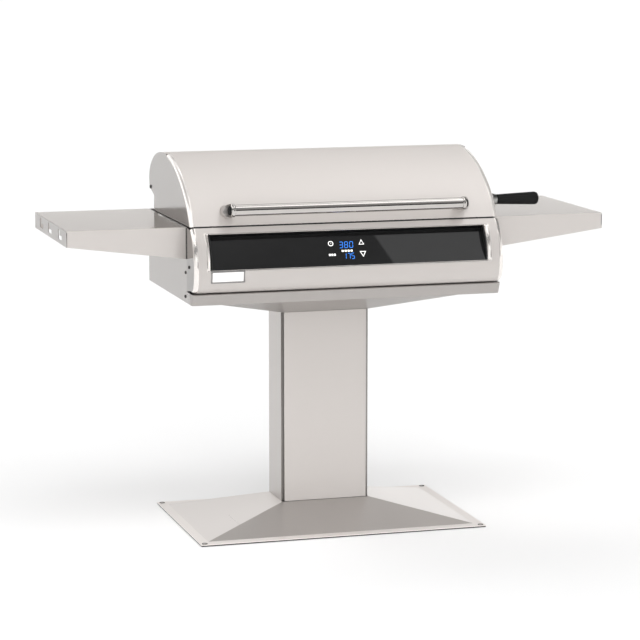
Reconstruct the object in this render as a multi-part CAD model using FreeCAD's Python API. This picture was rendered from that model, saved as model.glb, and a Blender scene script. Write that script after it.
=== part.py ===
import FreeCAD, Part
import math, os

os.makedirs("parts", exist_ok=True)
V = FreeCAD.Vector

# ------------------------------------------------------------------
# Pedestal-mounted electric grill, millimetres.
# +Z up, -Y towards the cook (front), +X to the cook's right.
# Origin: centre of the rectangular foot, on the ground.
# ------------------------------------------------------------------

# foot
FOOT_X = 414.9            # half width of the foot
FOOT_Y = 273.4            # half depth of the foot
FLANGE_X = 27.0           # flat rim beside the sloping skirt, left and right
FLANGE_Y = 33.0           # flat rim beside the sloping skirt, front and back
PLATE_T = 3.0             # floor plate
SHEET = 2.0               # main sheet thickness
SKIRT_TOP_Z = 63.5
ANCHOR_X = 402.0
ANCHOR_Y = 260.5
ANCHOR_R = 5.5

# column
COL_X = 128.2
COL_Y = 69.85
COL_TOP = 608.0
GROOVE = 4.7              # dark vertical joint beside the front panel

# hopper between column and body
HOP_X = 386.0
HOP_Y0 = -253.0
HOP_Y1 = 222.0

# body
BODY_X = 440.0
BODY_Y1 = 232.0
BODY_Z0 = 671.0
BODY_Z1 = 880.0
SEAM_Y = -233.0           # side joint between cheek and side panel
FASCIA_TOP = 702.0
RIM_X = 12.0              # width of the rolled edge at each end
RIM_IN = 7.0              # how far the rolled edge pulls in

# shelves
SHELF_X = 769.0
SHELF_Y0 = -230.6
SHELF_Y1 = 232.8
SHELF_Z = 878.7

# hood
PIVOT_Y = 200.0
PIVOT_Z = 945.0
HOOD_PTS = [(-272.9, 883.8), (-249.4, 920.5), (-219.8, 953.1), (-185.6, 980.9),
            (-148.2, 1004.4), (-108.7, 1023.9), (-67.4, 1039.5), (-24.8, 1050.9),
            (18.8, 1057.2), (62.9, 1057.9), (106.7, 1052.8), (149.9, 1041.0),
            (189.8, 1019.0), (219.3, 984.4), (217.0, 942.0)]
BEZEL_PTS = [(-276.2, 879.8), (-290.2, 864.4), (-301.8, 847.3), (-311.0, 828.7),
             (-317.6, 809.1), (-321.7, 788.7), (-323.1, 767.9), (-321.6, 747.2),
             (-317.6, 729.0), (-311.2, 716.6), (-300.5, 708.0), (-286.0, 704.5)]

# handle
BAR_Y = -300.0
BAR_Z = 927.5
BAR_R = 15.875
BAR_END = 334.5
RING_R = 18.2
POST_X = 333.5
POST_R = 18.0

# side grip
GRIP_Y = -207.0
GRIP_Z = 924.0

parts = {}


def add(name, shape):
    if name in parts:
        parts[name] = parts[name] + list(shape if isinstance(shape, list) else [shape])
    else:
        parts[name] = list(shape) if isinstance(shape, list) else [shape]


def box(x0, x1, y0, y1, z0, z1):
    return Part.makeBox(abs(x1 - x0), abs(y1 - y0), abs(z1 - z0),
                        V(min(x0, x1), min(y0, y1), min(z0, z1)))


def cyl(p, d, r, h):
    return Part.makeCylinder(r, h, V(*p), V(*d))


def yz_prism(pts, x0, x1):
    """closed polygon in the YZ plane, extruded along X"""
    w = Part.makePolygon([V(x0, a, b) for a, b in pts + [pts[0]]])
    return Part.Face(w).extrude(V(x1 - x0, 0, 0))


def xz_prism(pts, y0, y1):
    w = Part.makePolygon([V(a, y0, b) for a, b in pts + [pts[0]]])
    return Part.Face(w).extrude(V(0, y1 - y0, 0))


def xy_prism(pts, z0, z1):
    w = Part.makePolygon([V(a, b, z0) for a, b in pts + [pts[0]]])
    return Part.Face(w).extrude(V(0, 0, z1 - z0))


def mirror_x(s):
    return s.mirror(V(0, 0, 0), V(1, 0, 0))


def rect(x0, x1, y0, y1, z):
    return Part.makePolygon([V(x0, y0, z), V(x1, y0, z), V(x1, y1, z), V(x0, y1, z), V(x0, y0, z)])


def solid_of(faces):
    s = Part.Solid(Part.Shell(faces))
    if s.Volume < 0:
        s.reverse()
    return s


def frustum(r0, z0, r1, z1):
    """six flat faces between two rectangles (x0, x1, y0, y1) at two heights"""
    a = [V(r0[0], r0[2], z0), V(r0[1], r0[2], z0), V(r0[1], r0[3], z0), V(r0[0], r0[3], z0)]
    b = [V(r1[0], r1[2], z1), V(r1[1], r1[2], z1), V(r1[1], r1[3], z1), V(r1[0], r1[3], z1)]
    quads = [a, b] + [[a[i], a[(i + 1) % 4], b[(i + 1) % 4], b[i]] for i in range(4)]
    return solid_of([Part.Face(Part.makePolygon(q + [q[0]])) for q in quads])


def loft(wires):
    s = Part.makeLoft(wires, True, True)
    if s.Volume < 0:
        s.reverse()
    return s


def fuse(shapes):
    s = shapes[0]
    if len(shapes) > 1:
        s = s.multiFuse(shapes[1:])
    return s.removeSplitter()


# ---- curves in the YZ plane ----------------------------------------
def spline(pts, x=0.0):
    c = Part.BSplineCurve()
    c.interpolate([V(x, a, b) for a, b in pts])
    return c


class Profile:
    """smooth curve in the YZ plane with an inward side"""

    def __init__(self, pts, turn):
        self.c = spline(pts)
        self.turn = turn
        self.u0 = self.c.FirstParameter
        self.u1 = self.c.LastParameter
        self.length = self.c.length()

    def at(self, s, inset=0.0):
        """point at the fraction s of the length, moved inwards"""
        u = self.c.parameterAtDistance(s * self.length, self.u0)
        p = self.c.value(u)
        t = self.c.tangent(u)[0]
        n = (t.z * self.turn, -t.y * self.turn)
        return (p.y + n[0] * inset, p.z + n[1] * inset)

    def pts(self, s0, s1, n, inset=0.0):
        return [self.at(s0 + (s1 - s0) * i / (n - 1.0), inset) for i in range(n)]


hood = Profile(HOOD_PTS, 1)
bezel = Profile(BEZEL_PTS, -1)


def edge_from(pts, x):
    return spline(pts, x).toShape()


def line(a, b, x):
    return Part.makeLine(V(x, a[0], a[1]), V(x, b[0], b[1]))


def closed_wire(curve_pts, closing, x):
    """smooth curve closed by straight runs through the closing points"""
    edges = [edge_from(curve_pts, x)]
    chain = [curve_pts[-1]] + closing + [curve_pts[0]]
    for a, b in zip(chain[:-1], chain[1:]):
        edges.append(line(a, b, x))
    return Part.Wire(edges)


def band(profile, s0, s1, n, i0, i1, x0, x1):
    """bent sheet between two insets of a profile, extruded along X"""
    a = profile.pts(s0, s1, n, i0)
    b = profile.pts(s0, s1, n, i1)
    w = Part.Wire([edge_from(a, x0), line(a[-1], b[-1], x0), edge_from(b[::-1], x0), line(b[0], a[0], x0)])
    return Part.Face(w).extrude(V(x1 - x0, 0, 0))


RIM = [(-RIM_X, 0.0), (-RIM_X * 0.62, 0.55), (-RIM_X * 0.30, 2.0), (-RIM_X * 0.08, 4.3), (0.0, RIM_IN)]


def rolled_cap(profile, s0, s1, n, closing, closing_cut, x_out):
    """pressed end cap on the +X side: flat wall at x_out with a rolled edge along the profile"""
    outer = []
    inner = []
    for dx, ins in RIM:
        outer.append(closed_wire(profile.pts(s0, s1, n, ins), closing, x_out + dx))
        inner.append(closed_wire(profile.pts(s0, s1, n, ins + SHEET), closing_cut, x_out + dx - SHEET))
    return loft(outer).cut(loft(inner))


# ------------------------------------------------------------------
# foot and column
# ------------------------------------------------------------------
def anchors(z0, z1):
    return [cyl((sx * ANCHOR_X, sy * ANCHOR_Y, z0), (0, 0, 1), ANCHOR_R, z1 - z0)
            for sx in (-1, 1) for sy in (-1, 1)]


FOOT_BOLTS = [(sx * 54.0, sy * 40.0) for sx in (-1, 1) for sy in (-1, 1)]

plate = box(-FOOT_X + 1.5, FOOT_X - 1.5, -FOOT_Y + 1.5, FOOT_Y - 1.5, 0, PLATE_T)
for c in anchors(-1, 5):
    plate = plate.cut(c)
for bx, by in FOOT_BOLTS:
    plate = plate.cut(cyl((bx, by, -1), (0, 0, 1), 5.0, 10))
add("base_plate", plate)

sx0 = FOOT_X - FLANGE_X
sy0 = FOOT_Y - FLANGE_Y
flange = box(-FOOT_X, FOOT_X, -FOOT_Y, FOOT_Y, PLATE_T, PLATE_T + SHEET)
hip = frustum((-sx0, sx0, -sy0, sy0), PLATE_T + SHEET, (-COL_X, COL_X, -COL_Y, COL_Y), SKIRT_TOP_Z)
hip_in = hip.copy()
hip_in.translate(V(0, 0, -2.3))
skirt = flange.fuse(hip).cut(hip_in)
skirt = skirt.cut(box(-COL_X - 0.2, COL_X + 0.2, -COL_Y - 0.2, COL_Y + 0.2, -1, 80))
for c in anchors(-1, 8):
    skirt = skirt.cut(c)
add("base_skirt", skirt.removeSplitter())

shell = fuse([
    box(-COL_X, COL_X, COL_Y - SHEET, COL_Y, PLATE_T, COL_TOP),
    box(-COL_X, -COL_X + SHEET, -COL_Y + 8, COL_Y, PLATE_T, COL_TOP),
    box(COL_X - SHEET, COL_X, -COL_Y + 8, COL_Y, PLATE_T, COL_TOP),
    box(-COL_X, -COL_X + 22, -COL_Y + 8, -COL_Y + 10, PLATE_T, COL_TOP),
    box(COL_X - 22, COL_X, -COL_Y + 8, -COL_Y + 10, PLATE_T, COL_TOP)])
add("column_shell", shell)

px = COL_X - SHEET - GROOVE
add("column_front_panel", fuse([
    box(-px, px, -COL_Y, -COL_Y + SHEET, 64.6, COL_TOP - 0.4),
    box(-px, -px + SHEET, -COL_Y, -COL_Y + 7.7, 64.6, COL_TOP - 0.4),
    box(px - SHEET, px, -COL_Y, -COL_Y + 7.7, 64.6, COL_TOP - 0.4)]))


def inner_post(sgn):
    s = fuse([box(104, 108, -40, 40, 9, 658),
              box(68, 108, -40, -36, 9, 658),
              box(68, 108, 36, 40, 9, 658),
              box(40, 112, -56, 56, PLATE_T, 9),
              box(40, 112, -56, 56, 658, 664)])
    for by in (-40, 40):
        s = s.cut(cyl((54, by, 0), (0, 0, 1), 5.0, 700))
    return s if sgn > 0 else mirror_x(s)


add("inner_post_left", inner_post(-1))
add("inner_post_right", inner_post(1))


def hexagon(cx, cy, r, z0, z1):
    return xy_prism([(cx + r * math.cos(math.radians(60 * i)), cy + r * math.sin(math.radians(60 * i)))
                     for i in range(6)], z0, z1)


for bx, by in FOOT_BOLTS:
    add("foot_bolts", fuse([cyl((bx, by, 0.5), (0, 0, 1), 5.0, 8.5), hexagon(bx, by, 9.2, 9.0, 15.4)]))
    add("saddle_bolts", fuse([cyl((bx, by, 650), (0, 0, 1), 5.0, 23.5), hexagon(bx, by, 9.2, 673.0, 678.4),
                              hexagon(bx, by, 9.2, 650.0, 658.0)]))

hop = frustum((-COL_X, COL_X, -COL_Y, COL_Y), COL_TOP, (-HOP_X, HOP_X, HOP_Y0, HOP_Y1), BODY_Z0)
hop_in = hop.copy()
hop_in.translate(V(0, 0, 2.3))
hop = hop.cut(hop_in).cut(box(-COL_X + 4.5, COL_X - 4.5, -COL_Y + 4.5, COL_Y - 4.5, 600, 680))
add("support_hopper", hop.removeSplitter())

saddle = box(-190, 190, -130, 130, 664, BODY_Z0)
for bx, by in FOOT_BOLTS:
    saddle = saddle.cut(cyl((bx, by, 660), (0, 0, 1), 5.0, 20))
add("saddle_plate", saddle)

# ------------------------------------------------------------------
# body shell
# ------------------------------------------------------------------
floor = box(-BODY_X + SHEET, BODY_X - SHEET, -262, BODY_Y1 - SHEET, BODY_Z0, BODY_Z0 + SHEET)
for bx, by in FOOT_BOLTS:
    floor = floor.cut(cyl((bx, by, 660), (0, 0, 1), 5.0, 20))
add("body_floor", floor)

SCREWS_CHEEK = [(-261.0, 773.0)]
SCREWS_PANEL = [(-220.0, 754.0), (-215.0, 687.5)]


def side_panel(sgn):
    s = yz_prism([(-289, BODY_Z0), (BODY_Y1, BODY_Z0), (BODY_Y1, BODY_Z1 - 1.5), (SEAM_Y + 0.6, BODY_Z1 - 1.5),
                  (SEAM_Y + 0.6, FASCIA_TOP), (-300, FASCIA_TOP)], BODY_X - SHEET, BODY_X)
    for y, z in SCREWS_PANEL:
        s = s.cut(cyl((430, y, z), (1, 0, 0), 2.5, 20))
    return s if sgn > 0 else mirror_x(s)


add("side_panel_left", side_panel(-1))
add("side_panel_right", side_panel(1))

rear = box(-BODY_X + SHEET, BODY_X - SHEET, BODY_Y1 - SHEET, BODY_Y1, BODY_Z0 + SHEET, BODY_Z1 - 1.5)
rear = rear.cut(box(-400, 400, 220, 240, 681.5, 704.0))          # mouth for the drip tray
rear = rear.cut(cyl((340, 220, 745), (0, 1, 0), 11.0, 20))        # supply inlet
for cx in (-220, 220):
    for k in range(5):
        z = 790 + 14 * k
        rear = rear.cut(box(cx - 60, cx + 60, 220, 240, z, z + 5))
add("rear_panel", rear)

fascia = yz_prism([(-300, FASCIA_TOP), (-289, BODY_Z0), (-262.4, BODY_Z0), (-262.4, BODY_Z0 + 2), (-287.4, BODY_Z0 + 2),
                   (-297.0, 700), (-270, 700), (-270, FASCIA_TOP)], -BODY_X + SHEET + 0.2, BODY_X - SHEET - 0.2)
add("front_fascia", fascia)

# firebox: pressed tub hung inside the body by its top flange
TX, TY0, TY1, TZ0, TZ1 = 414.5, -223.5, 159.5, 708.0, 876.0
tub = box(-TX, TX, TY0, TY1, TZ0, TZ1).cut(box(-TX + 1.5, TX - 1.5, TY0 + 1.5, TY1 - 1.5, TZ0 + 1.5, TZ1 + 1))
rim = box(-427, 427, -250, 229.5, TZ1 - 1.5, TZ1).cut(box(-TX + 1.5, TX - 1.5, TY0 + 1.5, TY1 - 1.5, TZ1 - 5, TZ1 + 5))
tub = tub.fuse(rim).cut(box(-250, 250, -60, 0, TZ0 - 5, TZ0 + 5))
EL_Z = 815.0
EL_R = 4.0
EL_X = [46.0 + 46.0 * i for i in range(8)]
for sx in (-1, 1):
    for x in (EL_X[0], EL_X[-1]):
        tub = tub.cut(cyl((sx * x, -240, EL_Z), (0, 1, 0), 7.0, 30))
tub = tub.cut(cyl((300, 150, 848), (0, 1, 0), 3.0, 30))
add("firebox_tub", tub.removeSplitter())

# two bars that carry the front edge of the tub and the control panel
add("front_rail", fuse([box(-437.2, 437.2, -262, -260, 866.6, 877.0), box(-437.2, 437.2, -262, -251, 872.4, 874.4)]))

for x0, x1 in ((-412.8, -1.5), (1.5, 412.8)):
    add("grid_rests", box(x0, x1, TY0 + 1.5, TY0 + 15.5, 851, 854))
    add("grid_rests", box(x0, x1, TY1 - 15.5, TY1 - 1.5, 851, 854))


def cooking_grid(sgn):
    bars = []
    for i in range(25):
        x = 12.0 + 16.3 * i
        bars.append(cyl((x, TY0 + 4.5, 864.2), (0, 1, 0), 4.0, TY1 - TY0 - 9.0))
    s = fuse([box(7.5, 408.5, TY0 + 6, TY0 + 14, 854.2, 861.0),
              box(7.5, 408.5, TY1 - 14, TY1 - 6, 854.2, 861.0),
              box(7.5, 408.5, -36, -28, 855.5, 861.0)] + bars)
    return s if sgn > 0 else mirror_x(s)


add("cooking_grid_left", cooking_grid(-1))
add("cooking_grid_right", cooking_grid(1))


def element(sgn):
    """sheathed heating rod bent into a flat serpentine, both ends at the front"""
    y_far = 118.0
    y_near = -186.0
    r = 23.0
    z = EL_Z
    edges = []
    edges.append(Part.makeLine(V(EL_X[0], -243.0, z), V(EL_X[0], y_far, z)))
    for i in range(7):
        xa, xb = EL_X[i], EL_X[i + 1]
        xm = (xa + xb) / 2.0
        if i % 2 == 0:
            edges.append(Part.Arc(V(xa, y_far, z), V(xm, y_far + r, z), V(xb, y_far, z)).toShape())
            end = -243.0 if i == 6 else y_near
            edges.append(Part.makeLine(V(xb, y_far, z), V(xb, end, z)))
        else:
            edges.append(Part.Arc(V(xa, y_near, z), V(xm, y_near - r, z), V(xb, y_near, z)).toShape())
            edges.append(Part.makeLine(V(xb, y_near, z), V(xb, y_far, z)))
    path = Part.Wire(edges)
    circ = Part.Wire(Part.makeCircle(EL_R, V(EL_X[0], -243.0, z), V(0, 1, 0)))
    s = path.makePipeShell([circ], True, True)
    return s if sgn > 0 else mirror_x(s)


add("heating_element_left", element(-1))
add("heating_element_right", element(1))
for y in (-120.0, 60.0):
    add("element_supports", box(-412.9, 412.9, y - 2, y + 2, 799, 810.9))
for sx in (-1, 1):
    for x in (EL_X[0], EL_X[-1]):
        c = fuse([cyl((sx * x, -238.0, EL_Z), (0, 1, 0), 6.9, 24.0), cyl((sx * x, -229.0, EL_Z), (0, 1, 0), 10.5, 5.4)])
        add("element_bushings", c.cut(cyl((sx * x, -250, EL_Z), (0, 1, 0), EL_R + 0.05, 60)))

add("temperature_sensor", fuse([cyl((300, 40, 848), (0, 1, 0), 2.9, 128), cyl((300, 159.7, 848), (0, 1, 0), 7.0, 9.0)]))

# drip tray, drawn out to the rear on two angle rails
TRX = 378.0
tray = box(-TRX, TRX, -214, 226, 684.0, 701.2).cut(box(-TRX + 1.5, TRX - 1.5, -212.5, 224.5, 685.5, 710))
tray = fuse([tray,
             box(-396, -TRX, -214, 226, 699.7, 701.2),
             box(TRX, 396, -214, 226, 699.7, 701.2),
             box(-396, 396, 224.5, 234.4, 699.7, 701.2),
             box(-404, 404, 232.4, 234.4, 679.0, 707.0),
             box(-120, 120, 232.4, 250.0, 705.0, 707.0),
             box(-120, 120, 248.0, 250.0, 697.0, 707.0)])
add("drip_tray", tray)
for sgn in (-1, 1):
    r = fuse([box(384, 437.9, -211, 226, 697.3, 699.3), box(435.9, 437.9, -211, 226, 684, 699.3)])
    add("tray_rails", r if sgn > 0 else mirror_x(r))

# ------------------------------------------------------------------
# control panel
# ------------------------------------------------------------------
OPEN_X = 393.0
OPEN_Z0 = 768.0
OPEN_Z1 = 866.0
bz = band(bezel, 0.0, 1.0, 25, 0.0, SHEET, -BODY_X + RIM_X, BODY_X - RIM_X)
bz = fuse([bz, box(-BODY_X + RIM_X, BODY_X - RIM_X, -276.0, -262.4, 877.9, 879.8),
           box(-BODY_X + RIM_X, BODY_X - RIM_X, -286.2, -262.0, 704.5, 706.5)])
bz = bz.cut(box(-OPEN_X, OPEN_X, -340, -272, OPEN_Z0, OPEN_Z1))
add("control_bezel", bz)

b0 = bezel.at(0.0)
b1 = bezel.at(1.0)
cheek = rolled_cap(bezel, 0.0, 1.0, 25,
                   [(SEAM_Y, 704.5), (SEAM_Y, 879.8)],
                   [(SEAM_Y + 40, 690.0), (SEAM_Y + 40, 895.0)], BODY_X)
for y, z in SCREWS_CHEEK:
    cheek = cheek.cut(cyl((430, y, z), (1, 0, 0), 2.5, 20))
add("bezel_cheek_right", cheek)
add("bezel_cheek_left", mirror_x(cheek))

# display: black moulded frame, tilted glass, board behind it
GA = (-319.2, 769.5)
GB = (-267.8, 855.1)
gl = math.hypot(GB[0] - GA[0], GB[1] - GA[1])
gt = ((GB[0] - GA[0]) / gl, (GB[1] - GA[1]) / gl)
gn = (gt[1], -gt[0])


def gp(along, depth):
    """point on the glass: distance up its face, depth behind its face"""
    return (GA[0] + gt[0] * along + gn[0] * depth, GA[1] + gt[1] * along + gn[1] * depth)


add("display_glass", yz_prism([gp(0, 0), gp(gl, 0), gp(gl, 4.0), gp(0, 4.0)], -389.2, 389.2))
wall = [gp(-1.0, 4.2), gp(-1, -0.5), (-318.6, 790.0), (-313.0, 814.0), (-305.0, 833.0), (-296.0, 848.0),
        (-285.5, 862.0), (-285.5, 864.5), gp(gl + 8, 4.2)]
# four mouldings: two side walls, the top wall and the ledge that the glass lies on
lw = yz_prism(wall, 389.6, 392.0)
top_wall = yz_prism([(-285.5, 862.5), gp(gl + 1.0, -0.5), gp(gl + 1.0, 4.0), gp(gl + 8, 4.0), (-285.5, 864.5)], -389.4, 389.4)
back_ledge = yz_prism([gp(-1.0, 4.2), gp(12.0, 4.2), gp(12.0, 6.7), gp(-1.0, 6.7)], -389.4, 389.4)
back_ledge2 = yz_prism([gp(gl - 10.0, 4.2), gp(gl + 8.0, 4.2), gp(gl + 8.0, 6.7), gp(gl - 10.0, 6.7)], -389.4, 389.4)
side_ledge = yz_prism([gp(-1.0, 4.2), gp(gl + 8.0, 4.2), gp(gl + 8.0, 6.7), gp(-1.0, 6.7)], 379.0, 389.4)
add("display_housing", [lw, mirror_x(lw), top_wall, fuse([back_ledge, back_ledge2, side_ledge, mirror_x(side_ledge)])])
add("display_board", yz_prism([gp(16, 9.0), gp(92, 9.0), gp(92, 10.6), gp(16, 10.6)], -10, 130))
cb = box(-150, 150, -296, -238, 712, 760).cut(box(-148.5, 148.5, -294.5, -239.5, 713.5, 758.5))
add("control_box", cb)
add("power_board", box(-130, 130, -288, -246, 720, 721.6))

# blank name plate on the lower part of the panel
yb0 = -323.6
bad = box(-394.5, -300.5, -326.0, -322.0, 734.5, 763.8)
skin_front = band(bezel, 0.5, 0.9, 15, -2.0, -0.15, -394.5, -300.5)
bad2 = box(-394.5, -300.5, -335.0, -300.0, 734.5, 763.8).common(skin_front)
add("badge_plate", bad2)

# ------------------------------------------------------------------
# hood
# ------------------------------------------------------------------
S_NOTCH = 0.543            # where the rolled edge ends, near the top
skin = band(hood, 0.0, S_NOTCH + 0.02, 19, 0.0, SHEET, -BODY_X + RIM_X, BODY_X - RIM_X)
skin = fuse([skin, box(-BODY_X + RIM_X, BODY_X - RIM_X, -272.6, -250.0, 883.8, 885.8)])
rear_skin = band(hood, S_NOTCH, 1.0, 19, SHEET + 0.1, 2 * SHEET + 0.1, -BODY_X + SHEET + 0.1, BODY_X - SHEET - 0.1)
for sgn in (-1, 1):
    rear_skin = rear_skin.cut(box(sgn * 424.0, sgn * 441.0, 190, 240, 930, 972))

post_dir = (0.0, 0.9874, -0.1584)
holes = []
for sgn in (-1, 1):
    holes.append(cyl((sgn * POST_X, BAR_Y, BAR_Z), post_dir, 4.0, 90))
for h in holes:
    skin = skin.cut(h)
add("hood_front_skin", skin)
add("hood_rear_skin", rear_skin)

n_end = hood.at(S_NOTCH)
front_cap = rolled_cap(hood, 0.0, S_NOTCH, 19,
                       [(n_end[0], 882.7), ],
                       [(n_end[0] + 30, n_end[1] - 10.0), (n_end[0] + 30, 870.0), (-240.0, 870.0)], BODY_X)
rp = hood.pts(S_NOTCH, 1.0, 19, SHEET + 0.1)
rear_wire = closed_wire(rp, [(197.5, 937.7), (181.0, 932.8), (158.3, 925.2), (163.0, 882.7), (n_end[0] - 0.5, 882.7)],
                        BODY_X - SHEET)
rear_cap = Part.Face(rear_wire).extrude(V(SHEET, 0, 0))
end_panel = fuse([front_cap, rear_cap])
end_panel = end_panel.cut(box(400, 460, -400, 400, 850, 882.7))
end_panel = end_panel.cut(cyl((420, PIVOT_Y, PIVOT_Z), (1, 0, 0), 4.06, 40))
end_left = mirror_x(end_panel)
end_right = end_panel.cut(cyl((420, GRIP_Y, GRIP_Z), (1, 0, 0), 4.0, 40))
add("hood_end_left", end_left)
add("hood_end_right", end_right)

# inner lining: bent sheet with two side walls
LX = 418.0
LIN = 22.0
LT = 1.2
lin = band(hood, 0.03, 0.985, 25, LIN, LIN + LT, -LX, LX)
lp = hood.pts(0.03, 0.985, 25, LIN)
side = closed_wire(lp, [(158.0, 923.0), (162.0, 886.2), (lp[0][0], 886.2)], LX - LT)
side = Part.Face(side).extrude(V(LT, 0, 0))
rear_lip = yz_prism([(211.0, 943.0), (210.2, 941.6), (lp[-1][0] - 1, lp[-1][1] - 1.6), (lp[-1][0] - 1, lp[-1][1])], -LX, LX)
lining = fuse([lin, side, mirror_x(side)])
lining = lining.cut(box(-500, 500, -400, 400, 850, 886.2))
for h in holes:
    lining = lining.cut(h)
add("hood_lining", lining)

# main handle
tube = cyl((-331, BAR_Y, BAR_Z), (1, 0, 0), BAR_R, 662).cut(cyl((-340, BAR_Y, BAR_Z), (1, 0, 0), 13.9, 680))
add("handle_bar", tube)
ring = cyl((323, BAR_Y, BAR_Z), (1, 0, 0), RING_R, BAR_END - 323)
ring = ring.makeFillet(2.2, [e for e in ring.Edges if abs(e.BoundBox.XLength) < 0.01])
ring = ring.cut(cyl((320, BAR_Y, BAR_Z), (1, 0, 0), BAR_R, 11)).cut(cyl((320, BAR_Y, BAR_Z), (1, 0, 0), 12.6, 30))
add("handle_ring_right", ring)
add("handle_ring_left", mirror_x(ring))
# moulded plugs with a domed face
pw = Part.makePolygon([V(a, BAR_Y, BAR_Z + r) for a, r in
                       [(331.5, 0), (331.5, 12.55), (336.6, 12.55), (337.9, 12.0), (339.1, 10.6), (340.1, 8.2), (340.6, 4.8), (340.8, 0), (331.5, 0)]])
plug = Part.Face(pw).revolve(V(0, BAR_Y, BAR_Z), V(1, 0, 0), 360)
add("handle_plugs", [plug, mirror_x(plug)])

body_of_hood = Part.Face(closed_wire(hood.pts(0.0, 1.0, 41, 0.0), [(213.0, 850.0), (-272.9, 850.0)], -500)).extrude(V(1000, 0, 0))


def post(sgn):
    s = cyl((sgn * POST_X, BAR_Y, BAR_Z), post_dir, POST_R, 110)
    s = s.cut(body_of_hood)
    s = s.cut(cyl((-500, BAR_Y, BAR_Z), (1, 0, 0), RING_R + 0.05, 1000))
    sol = [q for q in s.Solids if q.Volume > 500]
    sol.sort(key=lambda q: q.CenterOfMass.y)
    s = sol[0]
    return s.cut(cyl((sgn * POST_X, BAR_Y + 30 * 0.9874, BAR_Z - 30 * 0.1584), post_dir, 4.0, 90))


add("handle_post_left", post(-1))
add("handle_post_right", post(1))
for sgn in (-1, 1):
    p0 = (sgn * POST_X, BAR_Y + 32 * 0.9874, BAR_Z - 32 * 0.1584)
    shank = cyl(p0, post_dir, 3.98, 48)
    head = cyl((p0[0], p0[1] + 31 * 0.9874, p0[2] - 31 * 0.1584), post_dir, 7.0, 5)
    add("handle_screws", fuse([shank, head]))

# side grip on the right end of the hood
ferr = Part.Face(Part.makePolygon([V(440.3, GRIP_Y, GRIP_Z + 4.0), V(440.3, GRIP_Y, GRIP_Z + 17.6),
                                   V(446.0, GRIP_Y, GRIP_Z + 17.6), V(458.0, GRIP_Y, GRIP_Z + 14.2),
                                   V(458.0, GRIP_Y, GRIP_Z + 4.0), V(440.3, GRIP_Y, GRIP_Z + 4.0)]))
add("grip_ferrule", ferr.revolve(V(0, GRIP_Y, GRIP_Z), V(1, 0, 0), 360))
gpnts = [(458.2, 4.0), (458.2, 13.8), (572.0, 18.2), (578.0, 16.4), (581.4, 11.5), (582.4, 5.0), (582.4, 0.0), (500.0, 0.0), (500.0, 4.0)]
gf = Part.Face(Part.makePolygon([V(a, GRIP_Y, GRIP_Z + b) for a, b in gpnts + [gpnts[0]]]))
add("side_grip", gf.revolve(V(0, GRIP_Y, GRIP_Z), V(1, 0, 0), 360))
add("grip_stud", fuse([cyl((428.5, GRIP_Y, GRIP_Z), (1, 0, 0), 3.98, 71.0), cyl((431.0, GRIP_Y, GRIP_Z), (1, 0, 0), 7.5, 6.6)]))

# hinge brackets on the body and their pins
def bracket(sgn):
    s = yz_prism([(160, 800), (190, 800), (190, 921), (209, 936), (211.5, 945), (208, 953.5), (200, 957), (186, 953), (160, 928)],
                 429, 432)
    s = s.fuse(box(432, 438, 160, 190, 800, 868)).removeSplitter()
    s = s.cut(cyl((420, PIVOT_Y, PIVOT_Z), (1, 0, 0), 4.0, 30))
    return s if sgn > 0 else mirror_x(s)


add("hinge_bracket_left", bracket(-1))
add("hinge_bracket_right", bracket(1))
pin = fuse([cyl((425.0, PIVOT_Y, PIVOT_Z), (1, 0, 0), 4.0, 16.0),
            cyl((440.5, PIVOT_Y, PIVOT_Z), (1, 0, 0), 7.5, 3.2),
            cyl((425.0, PIVOT_Y, PIVOT_Z), (1, 0, 0), 7.0, 3.9)])
add("hinge_pins", [pin, mirror_x(pin)])

for sgn in (-1, 1):
    add("hood_bumpers", cyl((sgn * 380.0, -266.6, 879.9), (0, 0, 1), 3.5, 3.5))

# ------------------------------------------------------------------
# side shelves
# ------------------------------------------------------------------
SLOT_Y = [-117.0, 31.0, 156.0]     # back end of each L-shaped slot


def shelf(sgn):
    zi = 791.4
    zo = 834.6
    front = xz_prism([(SHELF_X, SHELF_Z), (SHELF_X, zo), (BODY_X, zi), (BODY_X, SHELF_Z)], SHELF_Y0, SHELF_Y0 + SHEET)
    back = xz_prism([(SHELF_X, SHELF_Z), (SHELF_X, zo), (BODY_X, zi), (BODY_X, SHELF_Z)], SHELF_Y1 - SHEET, SHELF_Y1)
    s = fuse([box(BODY_X, SHELF_X, SHELF_Y0, SHELF_Y1, SHELF_Z - SHEET, SHELF_Z), front, back,
              box(SHELF_X - SHEET, SHELF_X, SHELF_Y0, SHELF_Y1, zo - 0.5, SHELF_Z),
              box(BODY_X, BODY_X + SHEET, SHELF_Y0, SHELF_Y1, zi, SHELF_Z)])
    for y in SLOT_Y:
        s = s.cut(box(750, 780, y - 18.0, y, 845.0, 873.0))
        s = s.cut(box(750, 780, y - 48.0, y, 845.0, 857.0))
    for y in (-180, 180):
        for z in (812, 852):
            s = s.cut(cyl((430, y, z), (1, 0, 0), 3.0, 20))
    return s if sgn > 0 else mirror_x(s)


add("shelf_left", shelf(-1))
add("shelf_right", shelf(1))
for sgn in (-1, 1):
    for y in (-180, 180):
        for z in (812, 852):
            b = fuse([cyl((440.05, y, z), (1, 0, 0), 3.0, 4.0), cyl((442.05, y, z), (1, 0, 0), 6.0, 4.0)])
            add("shelf_bolts", b if sgn > 0 else mirror_x(b))
    for y, z in SCREWS_CHEEK + SCREWS_PANEL:
        b = fuse([cyl((432.0, y, z), (1, 0, 0), 2.5, 8.5), cyl((440.0, y, z), (1, 0, 0), 4.6, 2.8)])
        add("side_screws", b if sgn > 0 else mirror_x(b))

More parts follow.
